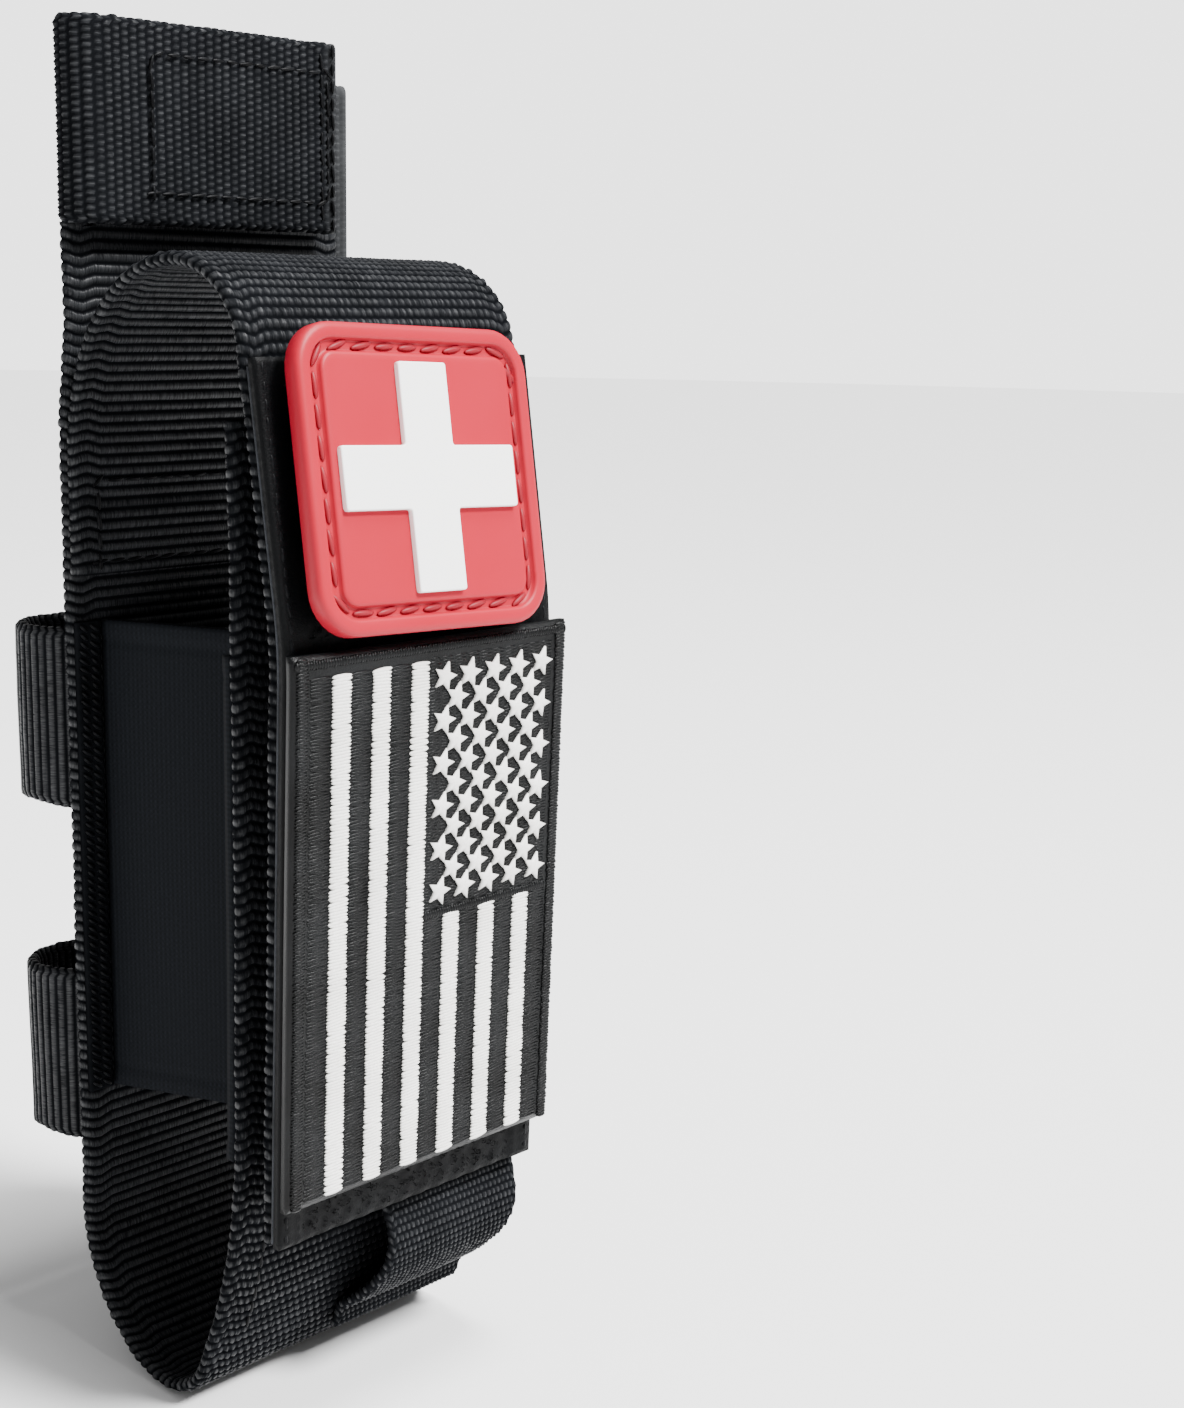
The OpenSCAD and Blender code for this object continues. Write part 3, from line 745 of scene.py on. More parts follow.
def makeMarkerLoop():
    thick, foldZ = holder["lightThick"], holder["foldZ"]
    lie = -(halfT + holder["curved"] + thick / 2)
    out = [Vector(p) for p in np.array(onLine(mainLine, mainLine["along"], lie)).T]
    along = mainLine["along"]
    coarse = np.array([tuple(p) for p in mainPoints])
    travelled = np.r_[0, np.cumsum(np.linalg.norm(np.diff(coarse, axis=0), axis=1))]

    def beside(index):
        return out[int(np.searchsorted(along, min(travelled[index], along[-1])))]

    upper = [beside((frontKnot - 1) * knotSteps + 2 * k) for k in range(3)]
    lower = [beside((foldKnot + 3) * knotSteps + 2 * k) for k in range(2, 5)]
    front = holder["flapY"] - 0.4
    knots = upper[::-1] + [
        (-front + 2, foldZ * 0.87), (-front, foldZ * 0.68), (-front + 0.4, foldZ * 0.59),
        (-front + 2.2, foldZ * 0.5), (-front + 5.4, foldZ * 0.41),
        (-front + 8.8, foldZ * 0.33)] + lower[::-1]
    line = measured(smoothCurve(knots))
    weave("markerLoop", line, -1.5, halfW, thick, markerCloth, fromSide,
          "light_webbing", "holder", ["marker_loop"], fineIn=True)


makeMarkerLoop()


# Layers that follow the hanging flap, and then the inner front
def hungFrame(x, z, out):
    y, height = hangAt(z, out)
    return place(x, y, height)


def frontFrame(x, z, out):
    # Positive out is towards the inside of the pocket
    heights = mainLine["places"][:, 1]
    onFront = mainLine["along"] > mainLine["along"][-1] - 135
    s = np.interp(z, heights[onFront], mainLine["along"][onFront])
    y, height = onLine(mainLine, s, out)
    return place(x, y, height)


def slab(name, xs, zs, near, far, frame, slotName, body, nodes, ripple=None, holes=()):
    xs, zs = np.asarray(xs, float), np.asarray(zs, float)
    x, z = np.meshgrid(xs, zs)
    lift = ripple(x, z) if ripple else 0.0
    sheets = [frame(x, z, far + lift), frame(x, z, np.full(x.shape, near))]
    rows, columns = x.shape
    solid = np.ones((rows - 1, columns - 1), bool)
    midX, midZ = (xs[1:] + xs[:-1]) / 2, (zs[1:] + zs[:-1]) / 2
    for x0, x1, z0, z1 in holes:
        inX, inZ = (midX > x0) & (midX < x1), (midZ > z0) & (midZ < z1)
        solid[np.outer(inZ, inX)] = False
    size = rows * columns
    faces = []
    for i, j in zip(*np.nonzero(solid)):
        a = i * columns + j
        quad = [a, a + 1, a + columns + 1, a + columns]
        faces += [quad, [size + v for v in quad[::-1]]]
        walls = ((i == 0 or not solid[i - 1, j], quad[0], quad[1]),
                 (i == rows - 2 or not solid[i + 1, j], quad[2], quad[3]),
                 (j == 0 or not solid[i, j - 1], quad[3], quad[0]),
                 (j == columns - 2 or not solid[i, j + 1], quad[1], quad[2]))
        faces += [[v, u, size + u, size + v] for isOpen, u, v in walls if isOpen]
    points = np.concatenate([s.reshape(-1, 3) for s in sheets])
    flat = np.stack([x, z, np.zeros_like(x)], axis=-1).reshape(-1, 3)
    return makePiece(name, points, faces, slotName, body, nodes,
                     {"cloth": np.concatenate([flat, flat])})


def steps(low, high, pitch, extra=()):
    even = np.linspace(low, high, max(2, round((high - low) / pitch) + 1))
    wanted = np.array(sorted(set(extra)))
    if len(wanted):
        far = np.abs(even[:, None] - wanted[None, :]).min(axis=1) > 0.3 * pitch
        even = np.sort(np.r_[even[far | (even == low) | (even == high)], wanted])
    return even


print("Node trees")


def newTree(name, numbers, **others):
    tree = bpy.data.node_groups.new(name, "GeometryNodeTree")
    kinds = {"Geometry": "Geometry", **dict.fromkeys(numbers, "Float"), **others,
             "Seed": "Int", "Material": "Material"}
    for label, kind in kinds.items():
        tree.interface.new_socket(label, in_out="INPUT", socket_type="NodeSocket" + kind)
    tree.interface.new_socket("Geometry", in_out="OUTPUT",
                              socket_type="NodeSocketGeometry")
    return tree, tree.nodes.new("NodeGroupInput").outputs


def closeTree(tree, instances, given):
    real = addNode(tree, "GeometryNodeRealizeInstances", {0: instances})
    shaded = addNode(tree, "GeometryNodeSetShadeSmooth", {0: real.outputs[0]})
    painted = addNode(tree, "GeometryNodeSetMaterial", {0: shaded.outputs[0],
                      "Material": given["Material"]})
    addNode(tree, "NodeGroupOutput", {0: painted.outputs[0]})


def facing(tree, along):
    # The helper's "face" attribute is the way out of the cloth
    face = addNode(tree, "GeometryNodeInputNamedAttribute", {"Name": "face"},
                   data_type="FLOAT_VECTOR")
    upright = addNode(tree, "FunctionNodeAlignRotationToVector",
                      {"Vector": face.outputs["Attribute"]}, axis="Z")
    return addNode(tree, "FunctionNodeAlignRotationToVector",
                   {"Rotation": upright.outputs[0], "Vector": along}, axis="X",
                   pivot_axis="Z").outputs[0]


def spun(tree, rotation, angle):
    spin = addNode(tree, "ShaderNodeCombineXYZ", {"Z": angle})
    return addNode(tree, "FunctionNodeRotateRotation", {"Rotation": rotation,
                   "Rotate By": spin.outputs[0]}, rotation_space="LOCAL").outputs[0]


def unevenSize(tree, given):
    least = addNode(tree, "ShaderNodeMath", {0: 1.0, 1: given["Unevenness"]},
                    operation="SUBTRACT")
    most = addNode(tree, "ShaderNodeMath", {0: 1.0, 1: given["Unevenness"]})
    return addNode(tree, "FunctionNodeRandomValue", {2: least.outputs[0],
                   3: most.outputs[0], "Seed": given["Seed"]},
                   data_type="FLOAT").outputs[1]


# Threads set along or across a run: stitches, satin bars and moulded dashes
def threadTree():
    tree, given = newTree("threadRun", ("Pitch", "Length", "Radius", "Flatness", "Turn",
                                        "Unevenness"))
    run = addNode(tree, "GeometryNodeMeshToCurve", {0: given["Geometry"]})
    spaced = addNode(tree, "GeometryNodeResampleCurve", {"Curve": run.outputs[0],
                     "Length": given["Pitch"]}, mode="LENGTH")
    tangent = addNode(tree, "GeometryNodeInputTangent")
    tilt = addNode(tree, "FunctionNodeRandomValue", {2: -0.09, 3: 0.09,
                   "Seed": given["Seed"]}, data_type="FLOAT")
    angle = addNode(tree, "ShaderNodeMath", {0: given["Turn"], 1: tilt.outputs[1]})
    lie = spun(tree, facing(tree, tangent.outputs[0]), angle.outputs[0])
    half = addNode(tree, "ShaderNodeMath", {0: given["Length"], 1: 0.5},
                   operation="MULTIPLY")
    long = addNode(tree, "ShaderNodeMath", {0: half.outputs[0],
                   1: unevenSize(tree, given)}, operation="MULTIPLY")
    high = addNode(tree, "ShaderNodeMath", {0: given["Radius"], 1: given["Flatness"]},
                   operation="MULTIPLY")
    size = addNode(tree, "ShaderNodeCombineXYZ", {"X": long.outputs[0],
                   "Y": given["Radius"], "Z": high.outputs[0]})
    bead = addNode(tree, "GeometryNodeMeshUVSphere", {"Segments": 6, "Rings": 5,
                   "Radius": 1.0})
    laid = addNode(tree, "GeometryNodeTransform", {"Geometry": bead.outputs[0],
                   "Rotation": (0, math.pi / 2, 0)})
    placed = addNode(tree, "GeometryNodeInstanceOnPoints", {"Points": spaced.outputs[0],
                     "Instance": laid.outputs[0], "Rotation": lie,
                     "Scale": size.outputs[0]})
    closeTree(tree, placed.outputs[0], given)
    return tree


# Curls of yarn scattered over a surface: the loop pile
def pileTree():
    tree, given = newTree("loopPile", ("Density", "Curl", "Yarn"))
    spread = addNode(tree, "GeometryNodeDistributePointsOnFaces",
                     {"Mesh": given["Geometry"], "Density": given["Density"],
                      "Seed": given["Seed"]})
    arc = addNode(tree, "GeometryNodeCurveArc", {"Resolution": 6,
                  "Radius": given["Curl"], "Sweep Angle": math.radians(215)})
    upright = addNode(tree, "GeometryNodeTransform", {"Geometry": arc.outputs[0],
                      "Rotation": (math.radians(90), 0, 0)})
    yarn = addNode(tree, "GeometryNodeCurvePrimitiveCircle", {"Resolution": 3,
                   "Radius": given["Yarn"]})
    curl = addNode(tree, "GeometryNodeCurveToMesh", {"Curve": upright.outputs[0],
                   "Profile Curve": yarn.outputs[0], "Fill Caps": True})
    lean = addNode(tree, "FunctionNodeRandomValue", {0: (-0.9, -0.9, -3.14),
                   1: (0.9, 0.9, 3.14), "Seed": given["Seed"]},
                   data_type="FLOAT_VECTOR")
    lie = addNode(tree, "FunctionNodeRotateRotation", {"Rotation": spread.outputs[2],
                  "Rotate By": lean.outputs[0]}, rotation_space="LOCAL")
    grow = addNode(tree, "FunctionNodeRandomValue", {2: 0.6, 3: 1.15,
                   "Seed": given["Seed"]}, data_type="FLOAT")
    placed = addNode(tree, "GeometryNodeInstanceOnPoints",
                     {"Points": spread.outputs["Points"], "Instance": curl.outputs[0],
                      "Rotation": lie.outputs[0], "Scale": grow.outputs[1]})
    closeTree(tree, placed.outputs[0], given)
    return tree


# One given shape on every point of the helper: hooks and stars
def studTree():
    tree, given = newTree("studs", ("Spin", "Unevenness"), Shape="Object")
    shape = addNode(tree, "GeometryNodeObjectInfo", {"Object": given["Shape"]})
    right = addNode(tree, "ShaderNodeCombineXYZ", {"X": 1.0})
    less = addNode(tree, "ShaderNodeMath", {0: given["Spin"], 1: -1.0},
                   operation="MULTIPLY")
    turn = addNode(tree, "FunctionNodeRandomValue", {2: less.outputs[0],
                   3: given["Spin"], "Seed": given["Seed"]}, data_type="FLOAT")
    lie = spun(tree, facing(tree, right.outputs[0]), turn.outputs[1])
    points = addNode(tree, "GeometryNodeMeshToPoints", {"Mesh": given["Geometry"]})
    placed = addNode(tree, "GeometryNodeInstanceOnPoints", {"Points": points.outputs[0],
                     "Instance": shape.outputs["Geometry"], "Rotation": lie,
                     "Scale": unevenSize(tree, given)})
    closeTree(tree, placed.outputs[0], given)
    return tree


trees = {"thread": threadTree(), "pile": pileTree(), "stud": studTree()}


def grown(name, helper, treeName, values, slotName, body, nodes):
    tree = trees[treeName]
    source = addObject(name + "Helper", helper)
    modifier = source.modifiers.new("grow", "NODES")
    modifier.node_group = tree
    keys = {item.name: item.identifier for item in tree.interface.items_tree
            if item.in_out == "INPUT"}
    for label, value in {**values, "Material": materials[slotName]}.items():
        modifier[keys[label]] = value
    graph = bpy.context.evaluated_depsgraph_get()
    mesh = bpy.data.meshes.new_from_object(source.evaluated_get(graph))
    mesh.name = name
    bpy.data.objects.remove(source)
    return register(name, mesh, slotName, body, nodes)


def helperMesh(points, outward, edges=(), faces=()):
    mesh = bpy.data.meshes.new("helper")
    mesh.from_pydata([tuple(p) for p in points], [tuple(e) for e in edges],
                     [tuple(f) for f in faces])
    layer = mesh.attributes.new("face", "FLOAT_VECTOR", "POINT")
    layer.data.foreach_set("vector", np.asarray(outward, np.float32).ravel())
    return mesh


def runMesh(runs):
    # Each run is a list of (point, outward) pairs; closed runs repeat their first
    points, outward, edges = [], [], []
    for run in runs:
        base = len(points)
        points += [p for p, _ in run]
        outward += [n for _, n in run]
        edges += [(base + i, base + i + 1) for i in range(len(run) - 1)]
    return helperMesh(points, outward, edges)


def onFrame(frame, x, z, out):
    here = frame(x, z, out)
    beyond = frame(x, z, out + 1.0)
    away = beyond - here
    return tuple(here), tuple(away / np.linalg.norm(away))


def runOn(frame, ends, out, pitch=1.5):
    run = []
    for (x0, z0), (x1, z1) in zip(ends[:-1], ends[1:]):
        count = max(2, int(math.hypot(x1 - x0, z1 - z0) / pitch))
        for i in range(count):
            t = i / count
            run.append(onFrame(frame, x0 + (x1 - x0) * t, z0 + (z1 - z0) * t, out))
    run.append(onFrame(frame, ends[-1][0], ends[-1][1], out))
    return run


def rectangle(x0, x1, z0, z1):
    return [(x0, z0), (x1, z0), (x1, z1), (x0, z1), (x0, z0)]


def facingY(depth, sign):
    # A flat face at a depth; sign -1 faces the front and 1 the rear
    return lambda x, z, out: place(x, depth + sign * out, z)


sewing = {
    "pitch": 3.0,
    "length": 2.7,
    "radius": 0.34,
    "flatness": 0.75,
    "turn": 4,
    "uneven": 0.08,
    "seed": 3,
}


def stitch(name, runs, body, nodes, slotName="thread", **changes):
    size = {**sewing, **changes}
    return grown(name, runMesh(runs), "thread", {
        "Pitch": size["pitch"] * mm, "Length": size["length"] * mm,
        "Radius": size["radius"] * mm, "Flatness": size["flatness"],
        "Turn": math.radians(size["turn"]), "Unevenness": size["uneven"],
        "Seed": size["seed"]}, slotName, body, nodes)


print("Sleeve")

sleeve = {
    "low": 43.0,
    "high": 74.0,
    "thick": 1.4,
    "frontX": 4.0,
    "edgeTape": 5.0,
    "hemAt": 3.2,
    "hemDeep": 0.28,
    "hemSwell": 0.12,
    "bow": 0.5,
}
sleeveTop = sleeve["low"] + sleeve["high"]


def hemGroove(x, z):
    fromEdge = np.minimum(z - sleeve["low"], sleeveTop - z)
    return (-sleeve["hemDeep"] * np.exp(-((fromEdge - sleeve["hemAt"]) / 0.45) ** 2)
            + sleeve["hemSwell"] * np.exp(-((fromEdge - 1.4) / 1.1) ** 2))


def makeSleeveBand():
    near = halfT + holder["sewn"]
    band = slab("sleeveFrontBand", steps(-halfW, halfW, 1.6),
                steps(sleeve["low"], sleeveTop, 0.7), near, near + sleeve["thick"],
                frontFrame, "elastic", "holder", ["sleeve_front_band"],
                ripple=hemGroove)


def makeSleevePanel(name, node, side):
    backX = halfW - sleeve["edgeTape"]
    back = holder["backY"] - halfT - holder["resting"]
    room = halfT + sleeve["thick"] + 2 * holder["sewn"] + holder["resting"]
    start = np.array([backX, back])
    run = np.array([sleeve["frontX"] - backX, -holder["frontY"] - back])
    run /= np.linalg.norm(run)
    sideways = np.array([run[1], -run[0]])
    zs = steps(sleeve["low"], sleeveTop, 0.7)
    # How far the panel runs before it meets the inner front at each height
    frontY = (frontFrame(0, zs, room)[..., 1] / mm) + originY
    reach = (frontY - back) / run[1] - 0.05

    def panelFrame(t, z, out):
        distance = t * np.interp(z, zs, reach)
        swell = sleeve["bow"] * np.sin(np.pi * t) * np.sin(
            np.pi * np.clip((z - sleeve["low"]) / sleeve["high"], 0, 1))
        spot = [start[k] + run[k] * distance + sideways[k] * (out - swell)
                for k in (0, 1)]
        return place(side * spot[0], spot[1], z)

    panel = slab(name, np.linspace(0, 1, 34), zs, sleeve["thick"], 0.0, panelFrame,
                 "elastic", "holder", [node], ripple=lambda x, z: -hemGroove(x, z))
    cloth = panel.data.attributes["cloth"]
    values = np.zeros(len(cloth.data) * 3, np.float32)
    cloth.data.foreach_get("vector", values)
    values = values.reshape(-1, 3)
    values[:, 0] *= reach.mean()
    cloth.data.foreach_set("vector", values.ravel())


def makeSleeveEdges():
    backFace = holder["backY"] - halfT - holder["sewn"]
    depth = facingY(backFace, -1)
    across = []
    for side, name in ((-1, "left"), (1, "right")):
        x0 = halfW - sleeve["edgeTape"] + 0.6 if side > 0 else -halfW + 0.4
        x1 = x0 + sleeve["edgeTape"] - 1
        slab(name + "EdgeTape", steps(x0, x1, 0.5), steps(sleeve["low"], sleeveTop, 0.5),
             0.0, holder["tape"], depth, "light_webbing", "holder",
             ["sleeve_" + name + "_edge_tape"],
             ripple=lambda x, z: 0.1 * np.sin(2 * np.pi * z / 1.6) - 0.05)
        across += [runOn(depth, [(x, sleeve["low"] + 1), (x, sleeveTop - 1)],
                         holder["tape"])
                   for x in ((x0 + x1) / 2 - 0.9, (x0 + x1) / 2 + 0.9)]
    # Overlocked along its length: short threads laid slantwise, close together
    stitch("sleeveStitching", across, "holder", ["sleeve_stitching"], pitch=1.25,
           length=1.9, radius=0.36, turn=52, uneven=0.15, seed=11)


makeSleeveBand()
makeSleevePanel("sleeveLeftPanel", "sleeve_left_panel", -1)
makeSleevePanel("sleeveRightPanel", "sleeve_right_panel", 1)
makeSleeveEdges()

print("Hook and loop")

tapes = {
    "hookPitch": 1.9,
    "hookBase": 0.55,
    "closureWide": 38.0,
    "closureZ": 70.0,
    "closureHigh": 66.0,
    "curl": 0.4,
    "yarn": 0.065,
}


def hookShape(high):
    # A moulded hook, bent over at its tip and leaning along X
    path = [(0, 0), (0, 0.5), (0.1, 0.82), (0.32, 1.0), (0.55, 0.9), (0.6, 0.7)]
    thick = [0.2, 0.17, 0.15, 0.13, 0.12, 0.05]
    points, faces = [], []
    for (x, z), t in zip(path, thick):
        points += [((x * high + dx * t), dy * t, z * high)
                   for dx, dy in ((-1, -1), (1, -1), (1, 1), (-1, 1))]
    for i in range(len(path) - 1):
        faces += [(4 * i + k, 4 * i + (k + 1) % 4, 4 * i + 4 + (k + 1) % 4, 4 * i + 4 + k)
                  for k in range(4)]
    faces += [(3, 2, 1, 0), tuple(4 * (len(path) - 1) + k for k in range(4))]
    mesh = bpy.data.meshes.new("hook")
    mesh.from_pydata([tuple(c * mm for c in p) for p in points], [], faces)
    return mesh


def grid(x0, x1, z0, z1, pitch):
    xs = steps(x0, x1, pitch)
    zs = steps(z0, z1, pitch)
    return [(x + (i % 2) * 0.3 * pitch, z) for i, z in enumerate(zs) for x in xs[:-1]]


def studs(name, shapeMesh, spots, spin, uneven, slotName, body, nodes):
    shape = addObject(name + "Shape", shapeMesh)
    piece = grown(name, helperMesh([p for p, _ in spots], [n for _, n in spots]), "stud",
                  {"Shape": shape, "Spin": spin, "Unevenness": uneven, "Seed": 5},
                  slotName, body, nodes)
    bpy.data.objects.remove(shape)
    return piece


def backwards(frame, depth=0):
    # The same face turned to look the other way, from a depth of its own
    return lambda x, z, out: frame(x, z, depth - out)


def hookTape(name, frame, x0, x1, z0, z1, near, body, node):
    base = tapes["hookBase"]
    slab(name + "Base", steps(x0, x1, 2.5), steps(z0, z1, 2.5), near, near + base, frame,
         "hook_tape", body, [node])
    spots = [onFrame(frame, x, z, near + base - 0.02)
             for x, z in grid(x0 + 1.2, x1 - 1.2, z0 + 1.2, z1 - 1.2, tapes["hookPitch"])]
    studs(name + "Hooks", hookShape(holder["hook"] - base), spots, math.pi, 0.06,
          "hook_tape", body, [node])


def pile(name, frame, cells, out, perCm, seed, body, nodes):
    # cells are the rectangles that carry curls, as x0, x1, z0, z1
    points, outward, faces = [], [], []
    for x0, x1, z0, z1 in cells:
        xs, zs = steps(x0, x1, 4), steps(z0, z1, 4)
        base = len(points)
        for z in zs:
            for x in xs:
                point, away = onFrame(frame, x, z, out)
                points.append(point)
                outward.append(away)
        for i in range(len(zs) - 1):
            for j in range(len(xs) - 1):
                a = base + i * len(xs) + j
                quad = (a, a + 1, a + len(xs) + 1, a + len(xs))
                normal = np.cross(np.subtract(points[quad[1]], points[a]),
                                  np.subtract(points[quad[3]], points[a]))
                faces.append(quad if np.dot(normal, outward[a]) > 0 else quad[::-1])
    return grown(name, helperMesh(points, outward, (), faces), "pile",
                 {"Density": perCm * 1e4, "Curl": tapes["curl"] * mm,
                  "Yarn": tapes["yarn"] * mm, "Seed": seed}, "loop_pile", body, nodes)


def makeClosure():
    half = tapes["closureWide"] / 2
    low, high = tapes["closureZ"], tapes["closureZ"] + tapes["closureHigh"]
    outerFront, innerFlap = backwards(frontFrame), backwards(hungFrame)
    near = halfT + holder["sewn"]
    hookTape("closureHook", outerFront, -half, half, low, high, near, "holder",
             "closure_hook_tape")
    slab("closureLoop", steps(-half, half, 1.2), steps(low, high, 1.2), near,
         near + holder["tape"] - 0.45, innerFlap, "loop_pile", "flap",
         ["closure_loop_tape"])
    pile("closureCurls", innerFlap, [(-half + 0.8, half - 0.8, low + 0.8, high - 0.8)],
         near + holder["tape"] - 0.5, 55, 21, "flap", ["closure_loop_tape"])


def makeTabTapes():
    front = facingY(patchY + holder["tape"], -1)
    inset = 3
    x0, x1 = -halfW + inset + 2, halfW - inset
    z0, z1 = holder["tabZ"] + inset, tailZ - inset
    slab("tabLoop", steps(x0, x1, 1.2), steps(z0, z1, 1.2), 0.0, holder["tape"] - 0.45,
         front, "loop_pile", "holder", ["tab_loop_patch"])
    pile("tabCurls", front, [(x0 + 0.8, x1 - 0.8, z0 + 0.8, z1 - 0.8)],
         holder["tape"] - 0.5, 60, 22, "holder", ["tab_loop_patch"])
    rear = facingY(tabHookY, 1)
    hookTape("tabHook", rear, top["stitchFrom"] - 3, halfW - top["short"] - 1,
             holder["tabZ"] + 2, holder["tabZ"] + holder["tabHigh"] - 2, 0.0, "top_tab",
             "tab_hook_patch")


makeClosure()
makeTabTapes()

print("Loop panel")

panel = {
    "backing": 0.4,
    "thick": 1.8,
    "selvedge": 4.5,
    "slitLong": 28.5,
    "slitHigh": 1.2,
    "slitPitch": 26.2,
    "slits": 4,
    "firstSlit": 60.5,
    "pileHigh": 0.75,
    "perCm": 100,
}
panelTop = holder["panelZ"] + holder["panelHigh"]
backingOut = halfT + holder["sewn"]
panelOut = backingOut + panel["backing"] + holder["sewn"]
patchOut = panelOut + panel["thick"] + holder["resting"]


def makePanel():
    middle = panel["selvedge"] / 2 + 1
    slitX = (middle - panel["slitLong"] / 2, middle + panel["slitLong"] / 2)
    slitZ = [panel["firstSlit"] + i * panel["slitPitch"] for i in range(panel["slits"])]
    slits = [(*slitX, z - panel["slitHigh"] / 2, z + panel["slitHigh"] / 2) for z in slitZ]
    lowZ, edge = holder["panelZ"], halfW - panel["selvedge"]
    base = panel["thick"] - panel["pileHigh"]
    xs = steps(-halfW, halfW, 0.75, slitX)
    zs = steps(lowZ, panelTop, 0.75, [z for s in slits for z in s[2:]])

    def ripple(x, z):
        # The selvedge is a ribbed tape; inside it the knitted ground heaves a little
        inEdge = np.clip((np.abs(x) - edge) / 0.5, 0, 1)
        ribbed = 0.32 * np.abs(np.sin(np.pi * z / 1.5)) * np.cos(
            np.pi * (np.abs(x) - edge) / 3.0) ** 2
        ground = 0.12 * np.sin(x * 1.7 + 2 * np.sin(z * 0.6)) * np.sin(z * 1.3)
        inSlit = sum(np.exp(-((z - (s[2] + s[3]) / 2) / 1.1) ** 2)
                     * ((x > slitX[0] - 0.5) & (x < slitX[1] + 0.5)) for s in slits)
        return inEdge * (ribbed + 0.25) + (1 - inEdge) * ground - 0.35 * inSlit

    slab("panelBacking", steps(-halfW, halfW, 3), steps(lowZ + 0.5, panelTop - 1, 1.5),
         backingOut, backingOut + panel["backing"], hungFrame, "backing", "flap",
         ["panel_backing"])
    ground = slab("loopPanel", xs, zs, panelOut, panelOut + base, hungFrame, "loop_pile",
                  "flap", ["loop_panel"], ripple=ripple, holes=slits)
    cells, floor = [], lowZ + 0.8
    left, right = -edge + 0.2, edge - 0.2
    for x0, x1, z0, z1 in slits:
        cells += [(left, right, floor, z0 - 0.6), (left, x0 - 0.6, z0 - 0.6, z1 + 0.6),
                  (x1 + 0.6, right, z0 - 0.6, z1 + 0.6)]
        floor = z1 + 0.6
    cells.append((left, right, floor, panelTop - 0.8))
    pile("panelCurls", hungFrame, cells, panelOut + base - 0.05, panel["perCm"], 31,
         "flap", ["loop_panel"])
    near = panelOut + base + 0.3
    runs = [runOn(hungFrame, [(x, lowZ + 1.5), (x, panelTop - 1.5)], near)
            for x in (-halfW + 1.2, halfW - 1.2)]
    stitch("panelStitching", runs, "flap", ["panel_stitching"], pitch=2.4, length=2.1)


makePanel()

print("Stitching")

seams = {
    "inset": 4.0,
    "ringHalf": 12.0,
    "ringX": 9.0,
    "raised": 0.1,
    "frontX": -19.5,
    "frontLow": 8.0,
    "frontHigh": 136.0,
}


def makeSewing():
    backing = facingY(archY - halfT, -1)
    inset, raised = seams["inset"], seams["raised"]
    low = holder["archBackZ"] - holder["archSeam"] + 2
    box = rectangle(-halfW + inset, halfW - inset, low, holder["archBackZ"] - 4)
    stitch("flapRootStitching", [runOn(backing, box, raised)], "holder",
           ["flap_root_stitching"])
    onRing = facingY(originY - rings["deep"] + holder["lightThick"], 1)
    tall = seams["ringHalf"]
    runs = [runOn(onRing, [(x, z - tall), (x, z + tall)], 0.12)
            for z in (rings["upperZ"], rings["lowerZ"])
            for x in (-seams["ringX"], seams["ringX"])]
    stitch("ringStitching", runs, "holder", ["ring_stitching"])
    rearTab = facingY(baseY + holder["lightThick"], 1)
    box = rectangle(-halfW + inset, halfW - inset, holder["tabZ"] + 3,
                    holder["tabZ"] + holder["tabHigh"] - 8)
    stitch("tabBaseStitching", [runOn(rearTab, box, 0.12)], "holder",
           ["tab_base_stitching"])
    frontTab = facingY(tabY, -1)
    low, high = holder["tabZ"], holder["tabZ"] + holder["tabHigh"]
    inset, right = top["stitchInset"], halfW - top["short"] - 2
    box = rectangle(top["stitchFrom"], right, low + inset, high - inset)
    ends = [[(right + 1.0, low + 1.2), (right + 1.0, high - 1.2)],
            [(right - 1.2, low + 3), (right - 1.2, high - 3)]]
    runs = [runOn(frontTab, e, raised) for e in [box] + ends]
    stitch("tabBoxStitching", runs, "top_tab", ["tab_box_stitching"], pitch=2.6,
           length=2.4, radius=0.3, uneven=0.2)
    outer = backwards(frontFrame)
    near = halfT + holder["lightThick"] + 2 * holder["curved"]
    runs = [runOn(outer, [(1.0, holder["foldZ"] - 1.5), (halfW - 2, holder["foldZ"] - 1.5)],
                  near)]
    stitch("markerStitching", runs, "holder", ["marker_loop_stitching"])
    seam = runOn(outer, [(seams["frontX"], seams[k]) for k in ("frontLow", "frontHigh")],
                 halfT + 0.08)
    stitch("frontSeam", [seam], "holder", [], pitch=2.8, length=2.4, radius=0.26)


makeSewing()

print("Cross patch")

cross = {
    "side": 42.0,
    "corner": 6.5,
    "thick": 3.0,
    "rim": 2.3,
    "groove": 1.7,
    "grooveDeep": 0.9,
    "lowZ": 119.3,
    "x": -1.6,
    "turn": -2.1,
    "lift": 2.5,
    "arm": 31.5,
    "armWide": 8.7,
    "raised": 0.8,
}


def crossMatrix(out):
    foot = np.array(hangAt(cross["lowZ"], patchOut))
    head = np.array(hangAt(holder["flapTopZ"], patchOut))
    rise = head - foot
    lean = math.radians(cross["lift"]) + math.atan2(rise[0], rise[1])
    origin = Vector((cross["x"], head[0] - originY, head[1] - originZ))
    return (Matrix.Scale(mm, 4) @ Matrix.Translation(origin)
            @ Matrix.Rotation(-lean, 4, "X")
            @ Matrix.Translation((0, -out, cross["side"] / 2 - np.linalg.norm(rise)))
            @ Matrix.Rotation(math.radians(90), 4, "X")
            @ Matrix.Rotation(math.radians(cross["turn"]), 4, "Z"))


